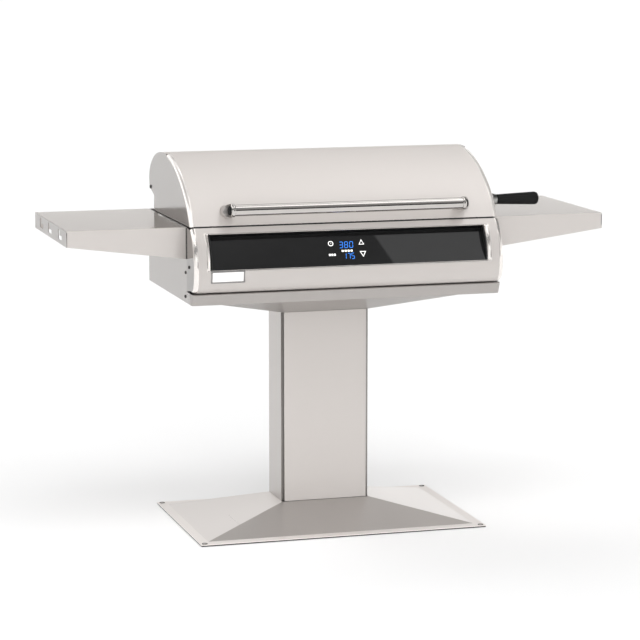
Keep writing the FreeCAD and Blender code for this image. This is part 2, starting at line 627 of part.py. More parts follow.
# supply gland in the rear panel
gl1 = fuse([cyl((340, 224, 745), (0, 1, 0), 10.9, 16.0), cyl((340, 232.1, 745), (0, 1, 0), 15.0, 5.0),
            cyl((340, 221, 745), (0, 1, 0), 14.5, 8.8)])
add("cord_gland", gl1.cut(cyl((340, 200, 745), (0, 1, 0), 5.0, 60)))

# ------------------------------------------------------------------
total = 0.0
for name, shapes in parts.items():
    solids = []
    for s in shapes:
        solids += s.Solids
    comp = solids[0] if len(solids) == 1 else Part.makeCompound(solids)
    bad = [i for i, s in enumerate(solids) if not s.isValid() or s.Volume <= 0]
    comp.exportStep("parts/%s.step" % name)
    bb = comp.optimalBoundingBox(True, False)
    total += comp.Volume
    print("%-22s n=%2d vol=%9.1f cm3 x[%7.1f %7.1f] y[%7.1f %7.1f] z[%7.1f %7.1f] %s" % (
        name, len(solids), comp.Volume / 1000.0, bb.XMin, bb.XMax, bb.YMin, bb.YMax, bb.ZMin, bb.ZMax, "BAD" if bad else ""))
print(len(parts), "nodes, volume cm3", total / 1000.0)
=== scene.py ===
import bpy
import bmesh
import math
import numpy as np
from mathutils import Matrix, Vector
from mathutils.geometry import tessellate_polygon


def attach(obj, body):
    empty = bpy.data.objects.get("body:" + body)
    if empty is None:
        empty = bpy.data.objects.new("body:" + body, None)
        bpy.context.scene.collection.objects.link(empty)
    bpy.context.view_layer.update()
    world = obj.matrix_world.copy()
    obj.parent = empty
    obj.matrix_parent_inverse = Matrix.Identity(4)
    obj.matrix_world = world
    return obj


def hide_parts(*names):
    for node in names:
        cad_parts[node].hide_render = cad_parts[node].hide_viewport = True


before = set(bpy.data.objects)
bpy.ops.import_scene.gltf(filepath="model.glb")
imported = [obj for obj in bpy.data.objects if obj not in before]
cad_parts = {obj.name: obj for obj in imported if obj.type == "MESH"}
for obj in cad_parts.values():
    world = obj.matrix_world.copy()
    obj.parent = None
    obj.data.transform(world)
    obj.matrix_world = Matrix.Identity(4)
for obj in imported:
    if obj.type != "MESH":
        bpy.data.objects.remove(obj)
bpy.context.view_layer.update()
MM = 0.001

# ---------------------------------------------------------------------------
# measures of the object, millimetres, in the frame of the CAD
# ---------------------------------------------------------------------------
HOOD_PTS = [(-272.9, 883.8), (-249.4, 920.5), (-219.8, 953.1), (-185.6, 980.9),
            (-148.2, 1004.4), (-108.7, 1023.9), (-67.4, 1039.5), (-24.8, 1050.9),
            (18.8, 1057.2), (62.9, 1057.9), (106.7, 1052.8), (149.9, 1041.0),
            (189.8, 1019.0), (219.3, 984.4), (217.0, 942.0)]
BEZEL_PTS = [(-276.2, 879.8), (-290.2, 864.4), (-301.8, 847.3), (-311.0, 828.7),
             (-317.6, 809.1), (-321.7, 788.7), (-323.1, 767.9), (-321.6, 747.2),
             (-317.6, 729.0), (-311.2, 716.6), (-300.5, 708.0), (-286.0, 704.5)]
BODY_X = 440.0
RIM_X = 12.0
RIM_IN = 7.0
S_NOTCH = 0.543
SEAM_Y = -233.0
BODY_Y1 = 232.0
BODY_Z0 = 671.0
BODY_Z1 = 880.0
COL_X, COL_Y, COL_TOP = 128.2, 69.85, 608.0
BAR_Y, BAR_Z, BAR_R = -300.0, 927.5, 15.875
RING_R = 18.2
POST_X, POST_R = 333.5, 18.0
POST_DIR = (0.9874, -0.1584)
GRIP_Y, GRIP_Z = -207.0, 924.0
PIVOT_Y, PIVOT_Z = 200.0, 945.0
SHELF_X, SHELF_Y0, SHELF_Y1, SHELF_Z = 769.0, -230.6, 232.8, 878.7


class Profile:
    """smooth curve in the YZ plane, by arc length, with an inward side"""

    def __init__(self, pts, turn):
        p = np.array(pts, float)
        n = len(p)
        d = np.concatenate([[0.0], np.cumsum(np.hypot(np.diff(p[:, 0]), np.diff(p[:, 1])))])

        def bends(y):
            h = np.diff(d)
            a = np.zeros((n, n))
            r = np.zeros(n)
            a[0, 0] = a[-1, -1] = 1.0
            for i in range(1, n - 1):
                a[i, i - 1], a[i, i], a[i, i + 1] = h[i - 1], 2 * (h[i - 1] + h[i]), h[i]
                r[i] = 6 * ((y[i + 1] - y[i]) / h[i] - (y[i] - y[i - 1]) / h[i - 1])
            return np.linalg.solve(a, r)

        t = np.linspace(0, d[-1], 4001)
        k = np.clip(np.searchsorted(d, t, side="right") - 1, 0, n - 2)
        h = d[k + 1] - d[k]
        a, b = (d[k + 1] - t) / h, (t - d[k]) / h
        q = []
        for j in (0, 1):
            y, m = p[:, j], bends(p[:, j])
            q.append(a * y[k] + b * y[k + 1] + ((a ** 3 - a) * m[k] + (b ** 3 - b) * m[k + 1]) * h * h / 6)
        self.q = np.array(q).T
        self.l = np.concatenate([[0.0], np.cumsum(np.hypot(np.diff(self.q[:, 0]), np.diff(self.q[:, 1])))])
        self.length = float(self.l[-1])
        tg = np.gradient(self.q, self.l, axis=0)
        tg /= np.linalg.norm(tg, axis=1)[:, None]
        self.tg = tg
        self.n = np.stack([tg[:, 1] * turn, -tg[:, 0] * turn], axis=1)

    def at(self, s, inset=0.0):
        x = s * self.length
        if x < 0:
            base, t, nn = self.q[0], self.tg[0], self.n[0]
            return tuple(base + t * x + nn * inset)
        v = [np.interp(x, self.l, self.q[:, j]) + np.interp(x, self.l, self.n[:, j]) * inset for j in (0, 1)]
        return (float(v[0]), float(v[1]))

    def s_at_z(self, z, s0, s1):
        """fraction of the length where the height is z, between s0 and s1"""
        x = np.linspace(s0 * self.length, s1 * self.length, 3000)
        zz = np.interp(x, self.l, self.q[:, 1])
        return float(x[int(np.argmin(abs(zz - z)))] / self.length)


hood = Profile(HOOD_PTS, 1)
bezel = Profile(BEZEL_PTS, -1)


# ---------------------------------------------------------------------------
# materials
# ---------------------------------------------------------------------------
class Nodes:
    def __init__(self, name):
        self.m = bpy.data.materials.new(name)
        self.m.use_nodes = True
        self.t = self.m.node_tree
        self.t.nodes.clear()
        self.out = self.t.nodes.new("ShaderNodeOutputMaterial")
        self.p = self.t.nodes.new("ShaderNodeBsdfPrincipled")
        self.t.links.new(self.p.outputs[0], self.out.inputs[0])
        self.co = self.t.nodes.new("ShaderNodeTexCoord")

    def new(self, kind, **props):
        n = self.t.nodes.new("ShaderNode" + kind)
        for k, v in props.items():
            setattr(n, k, v)
        return n

    def link(self, a, b):
        self.t.links.new(a, b)

    def coords(self, scale=(1, 1, 1), rot=(0, 0, 0)):
        m = self.new("Mapping")
        m.inputs["Scale"].default_value = scale
        m.inputs["Rotation"].default_value = rot
        self.link(self.co.outputs["Object"], m.inputs["Vector"])
        return m.outputs[0]

    def noise(self, vec, scale=1.0, detail=2.0, rough=0.5, distortion=0.0):
        n = self.new("TexNoise")
        n.inputs["Scale"].default_value = scale
        n.inputs["Detail"].default_value = detail
        n.inputs["Roughness"].default_value = rough
        n.inputs["Distortion"].default_value = distortion
        self.link(vec, n.inputs["Vector"])
        return n.outputs[0]

    def span(self, val, a, b, c, d, smooth=False):
        n = self.new("MapRange")
        n.interpolation_type = "SMOOTHSTEP" if smooth else "LINEAR"
        for k, v in zip(("From Min", "From Max", "To Min", "To Max"), (a, b, c, d)):
            n.inputs[k].default_value = v
        self.link(val, n.inputs["Value"])
        return n.outputs[0]

    def math(self, op, a, b=None):
        n = self.new("Math", operation=op)
        for i, v in enumerate((a, b)):
            if v is None:
                continue
            if isinstance(v, (int, float)):
                n.inputs[i].default_value = v
            else:
                self.link(v, n.inputs[i])
        return n.outputs[0]

    def ramp(self, val, stops, interp="LINEAR"):
        n = self.new("ValToRGB")
        cr = n.color_ramp
        cr.interpolation = interp
        while len(cr.elements) < len(stops):
            cr.elements.new(0.5)
        for e, (pos, col) in zip(cr.elements, stops):
            e.position = pos
            e.color = (*col, 1.0) if len(col) == 3 else col
        self.link(val, n.inputs[0])
        return n.outputs[0]

    def bump(self, height, strength, dist, after=None):
        n = self.new("Bump")
        n.inputs["Strength"].default_value = strength
        n.inputs["Distance"].default_value = dist
        self.link(height, n.inputs["Height"])
        if after is not None:
            self.link(after, n.inputs["Normal"])
        return n.outputs[0]

    def set(self, **kw):
        for k, v in kw.items():
            key = k.replace("_", " ")
            sock = self.p.inputs[key]
            if isinstance(v, bpy.types.NodeSocket):
                self.link(v, sock)
            elif isinstance(v, tuple) and len(v) == 3:
                sock.default_value = (*v, 1.0)
            else:
                sock.default_value = v
        return self


STEEL = (0.605, 0.570, 0.546)


def tones(base, k):
    """darker and lighter neighbours of a colour"""
    return tuple(max(0.0, c * (1 - k)) for c in base), tuple(min(1.0, c * (1 + k)) for c in base)


def brushed(name, along="X", tangent="X", rough=0.28, aniso=0.88, painted_light_level=1.0, vary=0.010, grain=0.02, metal=0.62, hue=(1.0, 1.0, 1.0)):
    """stainless sheet with a directional satin finish: lines along one axis; the part below full
    metallic stands for the wide haze that a satin finish throws; painted_light_level is painted light:
    it makes a lighter copy (painted highlight) or a darker copy (painted shade) for how light falls on the part"""
    g = Nodes(name)
    fine = {"X": (1.6, 1100, 1100), "Y": (1100, 1.6, 1100), "Z": (1100, 1100, 1.6)}[along]
    wide = {"X": (0.5, 90, 90), "Y": (90, 0.5, 90), "Z": (90, 90, 0.5)}[along]
    lines = g.noise(g.coords(fine), 1.0, 3.0, 0.62)
    bands = g.noise(g.coords(wide), 1.0, 2.0, 0.5)
    cloud = g.noise(g.coords((1, 1, 1)), 5.0, 2.0, 0.5)
    mix = g.math("ADD", g.math("MULTIPLY", lines, 0.55), g.math("ADD", g.math("MULTIPLY", bands, 0.25), g.math("MULTIPLY", cloud, 0.20)))
    base = tuple(c * painted_light_level * h for c, h in zip(STEEL, hue))
    lo, hi = tones(base, vary)
    col = g.ramp(mix, [(0.30, lo), (0.5, base), (0.70, hi)])
    ro = g.span(mix, 0.3, 0.7, rough - 0.03, rough + 0.03)
    g.set(Base_Color=col, Metallic=metal, Roughness=ro, Anisotropic=aniso)
    tn = g.new("Tangent", direction_type="RADIAL", axis=tangent)
    g.link(tn.outputs[0], g.p.inputs["Tangent"])
    g.link(g.bump(lines, grain, 0.00006), g.p.inputs["Normal"])
    return g.m


def polished(name, rough=0.09, painted_light_level=1.0, tangent=None, aniso=0.0, metal=1.0):
    """bright rolled edge or tube, faint lapping marks and smears; painted_light_level is painted light:
    above 1 a painted highlight on the rolled edges, below 1 painted shade on the handle posts
    """
    g = Nodes(name)
    marks = g.noise(g.coords((240, 240, 240)), 1.0, 3.0, 0.6)
    smear = g.noise(g.coords((1, 1, 1)), 22.0, 3.0, 0.55, 0.6)
    base = tuple(c * painted_light_level for c in (0.64, 0.61, 0.585))
    lo, hi = tones(base, 0.03)
    g.set(Base_Color=g.ramp(smear, [(0.32, lo), (0.5, base), (0.7, hi)]), Metallic=metal,
          Roughness=g.span(g.math("ADD", g.math("MULTIPLY", marks, 0.4), g.math("MULTIPLY", smear, 0.6)), 0.35, 0.65,
                           rough - 0.02, rough + 0.035))
    if tangent:
        g.set(Anisotropic=aniso)
        tn = g.new("Tangent", direction_type="RADIAL", axis=tangent)
        g.link(tn.outputs[0], g.p.inputs["Tangent"])
    g.link(g.bump(marks, 0.03, 0.00005), g.p.inputs["Normal"])
    return g.m


def mill(name, base, rough=0.34, vary=0.05, scale=30.0, metal=1.0, bump=0.08):
    """plain rolled or drawn metal with mottling"""
    g = Nodes(name)
    a = g.noise(g.coords(), scale, 4.0, 0.6, 0.3)
    b = g.noise(g.coords(), scale * 14, 3.0, 0.6)
    mix = g.math("ADD", g.math("MULTIPLY", a, 0.6), g.math("MULTIPLY", b, 0.4))
    lo, hi = tones(base, vary)
    g.set(Base_Color=g.ramp(mix, [(0.32, lo), (0.5, base), (0.68, hi)]), Metallic=metal,
          Roughness=g.span(mix, 0.3, 0.7, rough - 0.06, rough + 0.06))
    g.link(g.bump(b, bump, 0.0001), g.p.inputs["Normal"])
    return g.m


def spangle(name):
    """hot-dip zinc with crystal spangle"""
    g = Nodes(name)
    v = g.new("TexVoronoi", feature="F1")
    v.inputs["Scale"].default_value = 85.0
    g.link(g.coords(), v.inputs["Vector"])
    val = g.new("SeparateColor")
    g.link(v.outputs["Color"], val.inputs[0])
    fine = g.noise(g.coords(), 700.0, 3.0, 0.6)
    mix = g.math("ADD", g.math("MULTIPLY", val.outputs[0], 0.7), g.math("MULTIPLY", fine, 0.3))
    g.set(Base_Color=g.ramp(mix, [(0.1, (0.42, 0.43, 0.44)), (0.5, (0.50, 0.51, 0.52)), (0.9, (0.60, 0.61, 0.62))]),
          Metallic=1.0, Roughness=g.span(mix, 0.1, 0.9, 0.36, 0.5))
    g.link(g.bump(fine, 0.06, 0.0001), g.p.inputs["Normal"])
    return g.m


def plastic(name, base, rough=0.45, grain=600.0, depth=0.15, vary=0.15, coat=0.0, spec=0.5):
    g = Nodes(name)
    a = g.noise(g.coords(), grain, 2.0, 0.55)
    b = g.noise(g.coords(), 18.0, 3.0, 0.55)
    mix = g.math("ADD", g.math("MULTIPLY", a, 0.5), g.math("MULTIPLY", b, 0.5))
    lo, hi = tones(base, vary)
    g.set(Base_Color=g.ramp(mix, [(0.3, lo), (0.5, base), (0.7, hi)]),
          Roughness=g.span(mix, 0.3, 0.7, rough - 0.06, rough + 0.06), Coat_Weight=coat, Specular_IOR_Level=spec)
    g.link(g.bump(a, depth, 0.00015), g.p.inputs["Normal"])
    return g.m


def black_glass(name):
    g = Nodes(name)
    smear = g.noise(g.coords((1, 3, 3)), 14.0, 4.0, 0.6, 0.5)
    g.set(Base_Color=g.ramp(smear, [(0.35, (0.0068, 0.0068, 0.0070)), (0.65, (0.0082, 0.0082, 0.0084))]),
          Roughness=g.span(smear, 0.35, 0.7, 0.004, 0.010), IOR=1.5)
    return g.m


def lit(name, colour, power):
    """light-emitting segment behind glass, slightly uneven"""
    g = Nodes(name)
    n = g.noise(g.coords(), 900.0, 2.0, 0.5)
    lo, hi = tones(colour, 0.12)
    g.set(Base_Color=(0.01, 0.01, 0.012), Roughness=0.3,
          Emission_Color=g.ramp(n, [(0.3, lo), (0.7, hi)]), Emission_Strength=power)
    return g.m


# the marks are print; the glow added to them is painted brightness, not a lamp
def print_with_painted_glow(name, base):
    g = Nodes(name)
    n = g.noise(g.coords(), 1500.0, 2.0, 0.5)
    lo, hi = tones(base, 0.05)
    g.set(Base_Color=g.ramp(n, [(0.3, lo), (0.7, hi)]), Roughness=0.4,
          Emission_Color=g.ramp(n, [(0.3, lo), (0.7, hi)]), Emission_Strength=0.75)
    return g.m


def board(name):
    """circuit board: solder mask over a grid of tracks"""
    g = Nodes(name)
    b = g.new("TexBrick")
    b.offset = 0.37
    b.inputs["Scale"].default_value = 95.0
    b.inputs["Mortar Size"].default_value = 0.10
    b.inputs["Color1"].default_value = (0.010, 0.085, 0.040, 1)
    b.inputs["Color2"].default_value = (0.013, 0.100, 0.050, 1)
    b.inputs["Mortar"].default_value = (0.020, 0.16, 0.075, 1)
    g.link(g.coords((1, 1, 1.7), (0.6, 0, 0)), b.inputs["Vector"])
    g.set(Base_Color=b.outputs[0], Roughness=0.32, Coat_Weight=0.4)
    g.link(g.bump(b.outputs["Fac"], 0.2, 0.0001), g.p.inputs["Normal"])
    return g.m


# painted light: the levels below make lighter and darker copies of one stainless sheet for how light falls part by
# part: painted highlight on the hood, column front, foot rim, base and hopper sides and rolled edges; painted shade on
# the side panels, cheeks, shelf ends, fascia, hopper front, front and back base slopes, column sides and handle posts
M = {
    "sheet_x": brushed("sheet_brushed_x", "X", "X", rough=0.40, aniso=0.95, painted_light_level=1.15),
    "sheet_side": brushed("sheet_brushed_side", "Z", "Z", rough=0.17, aniso=0.5, painted_light_level=0.65, metal=0.8),
    "sheet_shelf": brushed("sheet_brushed_shelf", "X", "X", rough=0.16, aniso=0.5, metal=0.8, hue=(1.03, 0.985, 0.94)),
    "foot_rim": brushed("sheet_brushed_foot_rim", "X", "X", rough=0.30, aniso=0.5, painted_light_level=1.32, metal=0.3),
    "sheet_bezel": brushed("sheet_brushed_bezel", "X", "X", rough=0.40, aniso=0.95, painted_light_level=1.02),
    "sheet_shelf_end": brushed("sheet_brushed_shelf_end", "Y", "Y", rough=0.30, aniso=0.5, painted_light_level=0.58),
    "sheet_cheek": brushed("sheet_brushed_cheek", "Z", "Z", rough=0.12, aniso=0.3, painted_light_level=0.45, metal=1.0),
    "sheet_flange": brushed("sheet_brushed_flange", "X", "X", rough=0.34, aniso=0.8, painted_light_level=1.05),
    "sheet_col": brushed("sheet_brushed_column", "X", "X", rough=0.30, aniso=0.8),
    "sheet_col_side": brushed("sheet_brushed_column_side", "Y", "Y", rough=0.30, aniso=0.8, painted_light_level=0.80),
    "sheet_col_front": brushed("sheet_brushed_column_front", "X", "X", rough=0.40, aniso=0.9, painted_light_level=1.13),
    # painted shade: a dark copy for the faces inside the narrow column grooves and on the front panel's edges
    "groove": mill("column_groove_painted_shade", (0.33, 0.315, 0.30), 0.42, 0.10, 60.0),
    "lip": polished("window_lip", 0.14),
    # near black: the dark oxide of the foot plate's raw cut edge, and painted shade for the shadow line under the skirt
    # and inside the shelf corner seams
    "foot_dark": mill("plate_oxide_and_painted_shade", (0.055, 0.052, 0.05), 0.5, 0.15, 40.0, metal=0.6),
    "sheet_base": brushed("sheet_brushed_base", "X", "X", rough=0.30, aniso=0.9, painted_light_level=0.74),
    "sheet_base_side": brushed("sheet_brushed_base_side", "Y", "Y", rough=0.30, aniso=0.8, painted_light_level=1.17),
    "sheet_fascia": brushed("sheet_brushed_fascia", "X", "X", rough=0.36, aniso=0.9, painted_light_level=0.695),
    "sheet_hopper": brushed("sheet_brushed_hopper", "X", "X", rough=0.30, aniso=0.8, painted_light_level=0.64),
    "rim_low": polished("rolled_edge_low", 0.12, painted_light_level=1.38, metal=0.8),
    "rim": polished("rolled_edge", 0.17, painted_light_level=1.35, metal=0.6),
    "tube": polished("handle_tube", 0.07),
    "post": polished("handle_post", 0.36, painted_light_level=0.84, metal=0.85),
    "inner": mill("inner_sheet", (0.50, 0.475, 0.455), 0.36, 0.06, 12.0),
    "galv": spangle("galvanised"),
    "zinc": mill("zinc_bolt", (0.55, 0.55, 0.54), 0.34, 0.08, 220.0),
    "dark": mill("dark_screw", (0.10, 0.097, 0.094), 0.38, 0.2, 300.0),
    "rod": mill("cooking_rod", (0.60, 0.575, 0.555), 0.16, 0.04, 90.0, bump=0.03),
    "sheath": mill("element_sheath", (0.105, 0.105, 0.098), 0.48, 0.25, 120.0, metal=0.75, bump=0.25),
    "ceramic": plastic("ceramic", (0.72, 0.69, 0.63), 0.5, 900.0, 0.12, 0.06),
    "glass": black_glass("black_glass"),
    "plastic": plastic("black_plastic", (0.0085, 0.0085, 0.0088), 0.42),
    "grip": plastic("grip_moulding", (0.006, 0.006, 0.006), 0.58, 800.0, 0.10, 0.2, spec=0.22),
    "board": board("circuit_board"),
    "plate": mill("name_plate", (0.90, 0.885, 0.87), 0.22, 0.03, 160.0, metal=0.4),
    "plate_frame": mill("name_plate_frame", (0.34, 0.33, 0.325), 0.34, 0.10, 260.0),
    "cast": mill("cast_ferrule", (0.42, 0.42, 0.405), 0.34, 0.42, 230.0, bump=0.5),
    "rubber": plastic("rubber", (0.018, 0.018, 0.018), 0.7, 500.0, 0.2),
    "blue": lit("display_blue", (0.02, 0.24, 1.0), 1.7),
    "white": print_with_painted_glow("display_print", (0.80, 0.80, 0.78)),
    "print_warm": print_with_painted_glow("display_print_warm", (0.78, 0.78, 0.70)),
}


# ---------------------------------------------------------------------------
# mesh helpers
# ---------------------------------------------------------------------------
def piece(name, verts, faces, mats, body="root", slot=None, replaces=(), face_mat=None, smooth=True,
          thick=None, bevel=None, seg=2, angle=32.0, weights=None, weld=1e-4, inside=None):
    """makes an object from millimetre vertices, with sheet thickness and softened edges;
    a sheet with a point given as inside is turned so that its faces look away from that point"""
    if inside is not None:
        look = 0.0
        for q in faces:
            a, b, c = (Vector(verts[i]) for i in (q[0], q[1], q[-1]))
            look += (b - a).cross(c - a).dot((a + b + c) / 3 - Vector(inside))
        if look < 0:
            faces = [tuple(q)[::-1] for q in faces]
    me = bpy.data.meshes.new(name)
    me.from_pydata([tuple(c * MM for c in v) for v in verts], [], [tuple(f) for f in faces])
    mats = mats if isinstance(mats, (list, tuple)) else [mats]
    for m in mats:
        me.materials.append(M[m])
    if face_mat is not None:
        for p, k in zip(me.polygons, face_mat):
            p.material_index = k
    bm = bmesh.new()
    bm.from_mesh(me)
    bmesh.ops.remove_doubles(bm, verts=bm.verts, dist=weld * 0.1)
    if weights is not None:
        lay = bm.edges.layers.float.get("bevel_weight_edge") or bm.edges.layers.float.new("bevel_weight_edge")
        for e in bm.edges:
            e[lay] = weights(e)
    bm.to_mesh(me)
    bm.free()
    me.update()
    for p in me.polygons:
        p.use_smooth = smooth
    ob = bpy.data.objects.new(name, me)
    bpy.context.scene.collection.objects.link(ob)
    if thick:
        m = ob.modifiers.new("thickness", "SOLIDIFY")
        m.thickness = thick * MM
        m.offset = -1.0
        m.use_even_offset = True
        m.use_quality_normals = True
    if bevel:
        m = ob.modifiers.new("soft_edges", "BEVEL")
        m.width = bevel * MM
        m.segments = seg
        m.use_clamp_overlap = True
        if weights is not None:
            m.limit_method = "WEIGHT"
        else:
            m.limit_method = "ANGLE"
            m.angle_limit = math.radians(angle)
    if smooth:
        m = ob.modifiers.new("normals", "WEIGHTED_NORMAL")
        m.mode = "FACE_AREA"
        m.weight = 50
        m.keep_sharp = True
    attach(ob, body)
    if replaces:
        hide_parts(*([replaces] if isinstance(replaces, str) else replaces))
    return ob


def grid_faces(rows, cols, flip=False, skip=None, closed=False):
    """quads of a rows by cols lattice of vertices, row by row"""
    out = []
    for r in range(rows - 1):
        for c in range(cols if closed else cols - 1):
            if skip and skip(r, c):
                continue
            d = (c + 1) % cols
            q = [r * cols + c, r * cols + d, (r + 1) * cols + d, (r + 1) * cols + c]
            out.append(q[::-1] if flip else q)
    return out


def flipx(verts, faces):
    return [(-x, y, z) for x, y, z in verts], [tuple(f[::-1]) for f in faces]


def prism(poly, a0, a1, axis="X", steps=1):
    """closed solid: a polygon in the other two axes pushed along one axis"""
    n = len(poly)
    area = sum(poly[i][0] * poly[(i + 1) % n][1] - poly[(i + 1) % n][0] * poly[i][1] for i in range(n))
    if area < 0:
        poly = poly[::-1]
    put = {"X": lambda a, u, v: (a, u, v), "Y": lambda a, u, v: (v, a, u), "Z": lambda a, u, v: (u, v, a)}[axis]
    verts = []
    for k in range(steps + 1):
        a = a0 + (a1 - a0) * k / steps
        verts += [put(a, u, v) for u, v in poly]
    faces = []
    for k in range(steps):
        for i in range(n):
            j = (i + 1) % n
            faces.append((k * n + i, k * n + j, (k + 1) * n + j, (k + 1) * n + i))
    faces.append(tuple(range(n))[::-1])
    faces.append(tuple(k + steps * n for k in range(n)))
    return verts, faces


def plate(outer, holes, put, depth):
    """flat sheet with holes: outlines in (u, v), put(u, v, w) places a point, w from 0 to depth"""
    loops = [list(outer)] + [list(h) for h in holes]
    flat = [Vector((u, v, 0)) for lp in loops for u, v in lp]
    tris = tessellate_polygon([[Vector((u, v, 0)) for u, v in lp] for lp in loops])
    n = len(flat)
    verts = [put(p.x, p.y, 0.0) for p in flat] + [put(p.x, p.y, depth) for p in flat]
    faces = []
    for t in tris:
        a, b, c = (flat[i] for i in t)
        up = (b - a).cross(c - a).z > 0
        t = tuple(t) if up else tuple(t)[::-1]
        faces.append(t[::-1])
        faces.append(tuple(i + n for i in t))
    k = 0
    for li, lp in enumerate(loops):
        m = len(lp)
        ar = sum(lp[i][0] * lp[(i + 1) % m][1] - lp[(i + 1) % m][0] * lp[i][1] for i in range(m))
        ccw = (ar > 0) if li == 0 else (ar < 0)
        for i in range(m):
            j = (i + 1) % m
            q = (k + i, k + j, k + j + n, k + i + n)
            faces.append(q if ccw else q[::-1])
        k += m
    return verts, faces


def fix_normals(ob):
    bm = bmesh.new()
    bm.from_mesh(ob.data)
    bmesh.ops.recalc_face_normals(bm, faces=bm.faces)
    bm.to_mesh(ob.data)
    bm.free()


def lathe(pts, seg, put, closed=True, radius=None):
    """(a, r) outline turned round an axis: put(a, u, v) places a point; ends with r = 0 close to a point"""
    verts, rings = [], []
    for a, r in pts:
        if r < 1e-6:
            rings.append([len(verts)])
            verts.append(put(a, 0.0, 0.0))
        else:
            rings.append(list(range(len(verts), len(verts) + seg)))
            for k in range(seg):
                t = 2 * math.pi * k / seg
                q = r if radius is None else radius(a, r, t)
                verts.append(put(a, q * math.cos(t), q * math.sin(t)))
    faces = []
    pairs = list(zip(rings[:-1], rings[1:]))
    if closed and pts[0][1] > 1e-6:
        pairs.append((rings[-1], rings[0]))
    for p, q in pairs:
        for k in range(seg):
            j = (k + 1) % seg
            if len(p) == 1 and len(q) == 1:
                continue
            if len(p) == 1:
                faces.append((p[0], q[j], q[k]))
            elif len(q) == 1:
                faces.append((p[k], p[j], q[0]))
            else:
                faces.append((p[k], p[j], q[j], q[k]))
    return verts, faces


def about_x(y0, z0, sgn=1.0):
    return lambda a, u, v: (sgn * a, y0 + u, z0 + v)


def join(parts):
    verts, faces = [], []
    for v, f in parts:
        k = len(verts)
        verts += v
        faces += [tuple(i + k for i in q) for q in f]
    return verts, faces


def solid(name, vf, mats, **kw):
    ob = piece(name, vf[0], vf[1], mats, **kw)
    fix_normals(ob)
    return ob


def circle(cx, cy, r, n=24, start=0.0):
    return [(cx + r * math.cos(start + 2 * math.pi * k / n), cy + r * math.sin(start + 2 * math.pi * k / n)) for k in range(n)]


def round_rect(x0, x1, y0, y1, r, n=5):
    out = []
    for cx, cy, a in ((x1 - r, y1 - r, 0), (x0 + r, y1 - r, 90), (x0 + r, y0 + r, 180), (x1 - r, y0 + r, 270)):
        out += [(cx + r * math.cos(math.radians(a + 90.0 * k / n)), cy + r * math.sin(math.radians(a + 90.0 * k / n)))
                for k in range(n + 1)]
    return out


# ---------------------------------------------------------------------------
# foot
# ---------------------------------------------------------------------------
FX, FY = 414.9, 273.4
SX, SY = FX - 27.0, FY - 33.0
TOPZ = 63.5
holes = [circle(sx * 402.0, sy * 260.5, 5.5, 24) for sx in (-1, 1) for sy in (-1, 1)]
frame_outer = [(-FX, -FY), (FX, -FY), (FX, FY), (-FX, FY)]
inner = [(-SX, -SY), (SX, -SY), (SX, SY), (-SX, SY)]
# top skin of the skirt: rim with holes, then four slopes up to the column
loops = [frame_outer] + holes + [inner]
flat = [(u, v) for lp in loops for u, v in lp]
tris = tessellate_polygon([[Vector((u, v, 0)) for u, v in lp] for lp in loops])
sv = [(u, v, 5.0) for u, v in flat]
sf = []
for t in tris:
    a, b, c = (Vector((*flat[i], 0)) for i in t)
    sf.append(tuple(t) if (b - a).cross(c - a).z > 0 else tuple(t)[::-1])
# painted light: the flat rim takes a brightened copy of the sheet, the front and back slopes a darkened one and the
# side slopes a brightened one, for how light falls on each
fm = [2] * len(sf)
k0 = len(sv)
CXI, CYI = COL_X + 0.15, COL_Y + 0.15
ring_lo = [(-SX, -SY), (SX, -SY), (SX, SY), (-SX, SY)]
ring_hi = [(-CXI, -CYI), (CXI, -CYI), (CXI, CYI), (-CXI, CYI)]
for i in range(4):
    j = (i + 1) % 4
    k = len(sv)
    sv += [(*ring_lo[i], 5.0), (*ring_lo[j], 5.0), (*ring_hi[j], TOPZ), (*ring_hi[i], TOPZ)]
    sf.append((k, k + 1, k + 2, k + 3))
    fm.append(0 if i in (0, 2) else 1)


def crease(e):
    if len(e.link_faces) != 2:
        return 0.0
    return 1.0 if e.calc_face_angle(0.0) > math.radians(4) else 0.0


skirt = piece("base_skirt_sheet", sv, sf, ["sheet_base", "sheet_base_side", "foot_rim"], slot="stainless_sheet", replaces="base_skirt",
              face_mat=fm, weights=crease, bevel=2.6, seg=4)
skirt.modifiers.remove(skirt.modifiers["normals"])
m = skirt.modifiers.new("thickness", "SOLIDIFY")
m.thickness, m.offset, m.use_even_offset = 2.0 * MM, -1.0, True
m = skirt.modifiers.new("edge", "BEVEL")
m.width, m.segments, m.limit_method, m.angle_limit = 0.45 * MM, 2, "ANGLE", math.radians(50)
m = skirt.modifiers.new("normals", "WEIGHTED_NORMAL")
m.mode, m.weight = "FACE_AREA", 50

# thin dark washers around the four anchor holes
washer = [(5.02, 5.7), (5.9, 5.8), (6.1, 6.1), (6.0, 7.5), (5.8, 7.8), (5.02, 7.9)]
solid("anchor_hole_washers", join([lathe(washer, 28, (lambda x, y: lambda a, u, v: (x + u, y + v, a))(sx * 402.0, sy * 260.5))
                                   for sx in (-1, 1) for sy in (-1, 1)]), "rubber", slot="rubber", bevel=0.15, seg=1)

# ---------------------------------------------------------------------------
# column: folded shell and a front panel set between two narrow grooves
# ---------------------------------------------------------------------------
X, Y = COL_X, COL_Y
shell_poly = [(-X, -Y + 8), (-X + 22, -Y + 8), (-X + 22, -Y + 10), (-X + 2, -Y + 10), (-X + 2, Y - 2), (X - 2, Y - 2),
              (X - 2, -Y + 10), (X - 22, -Y + 10), (X - 22, -Y + 8), (X, -Y + 8), (X, Y), (-X, Y)]


def side_faces(ob, k_side=1, limit=0.8):
    """second material on faces that look left or right, a darker copy of the finish: painted shade"""
    for p in ob.data.polygons:
        if abs(p.normal.x) > limit:
            p.material_index = k_side


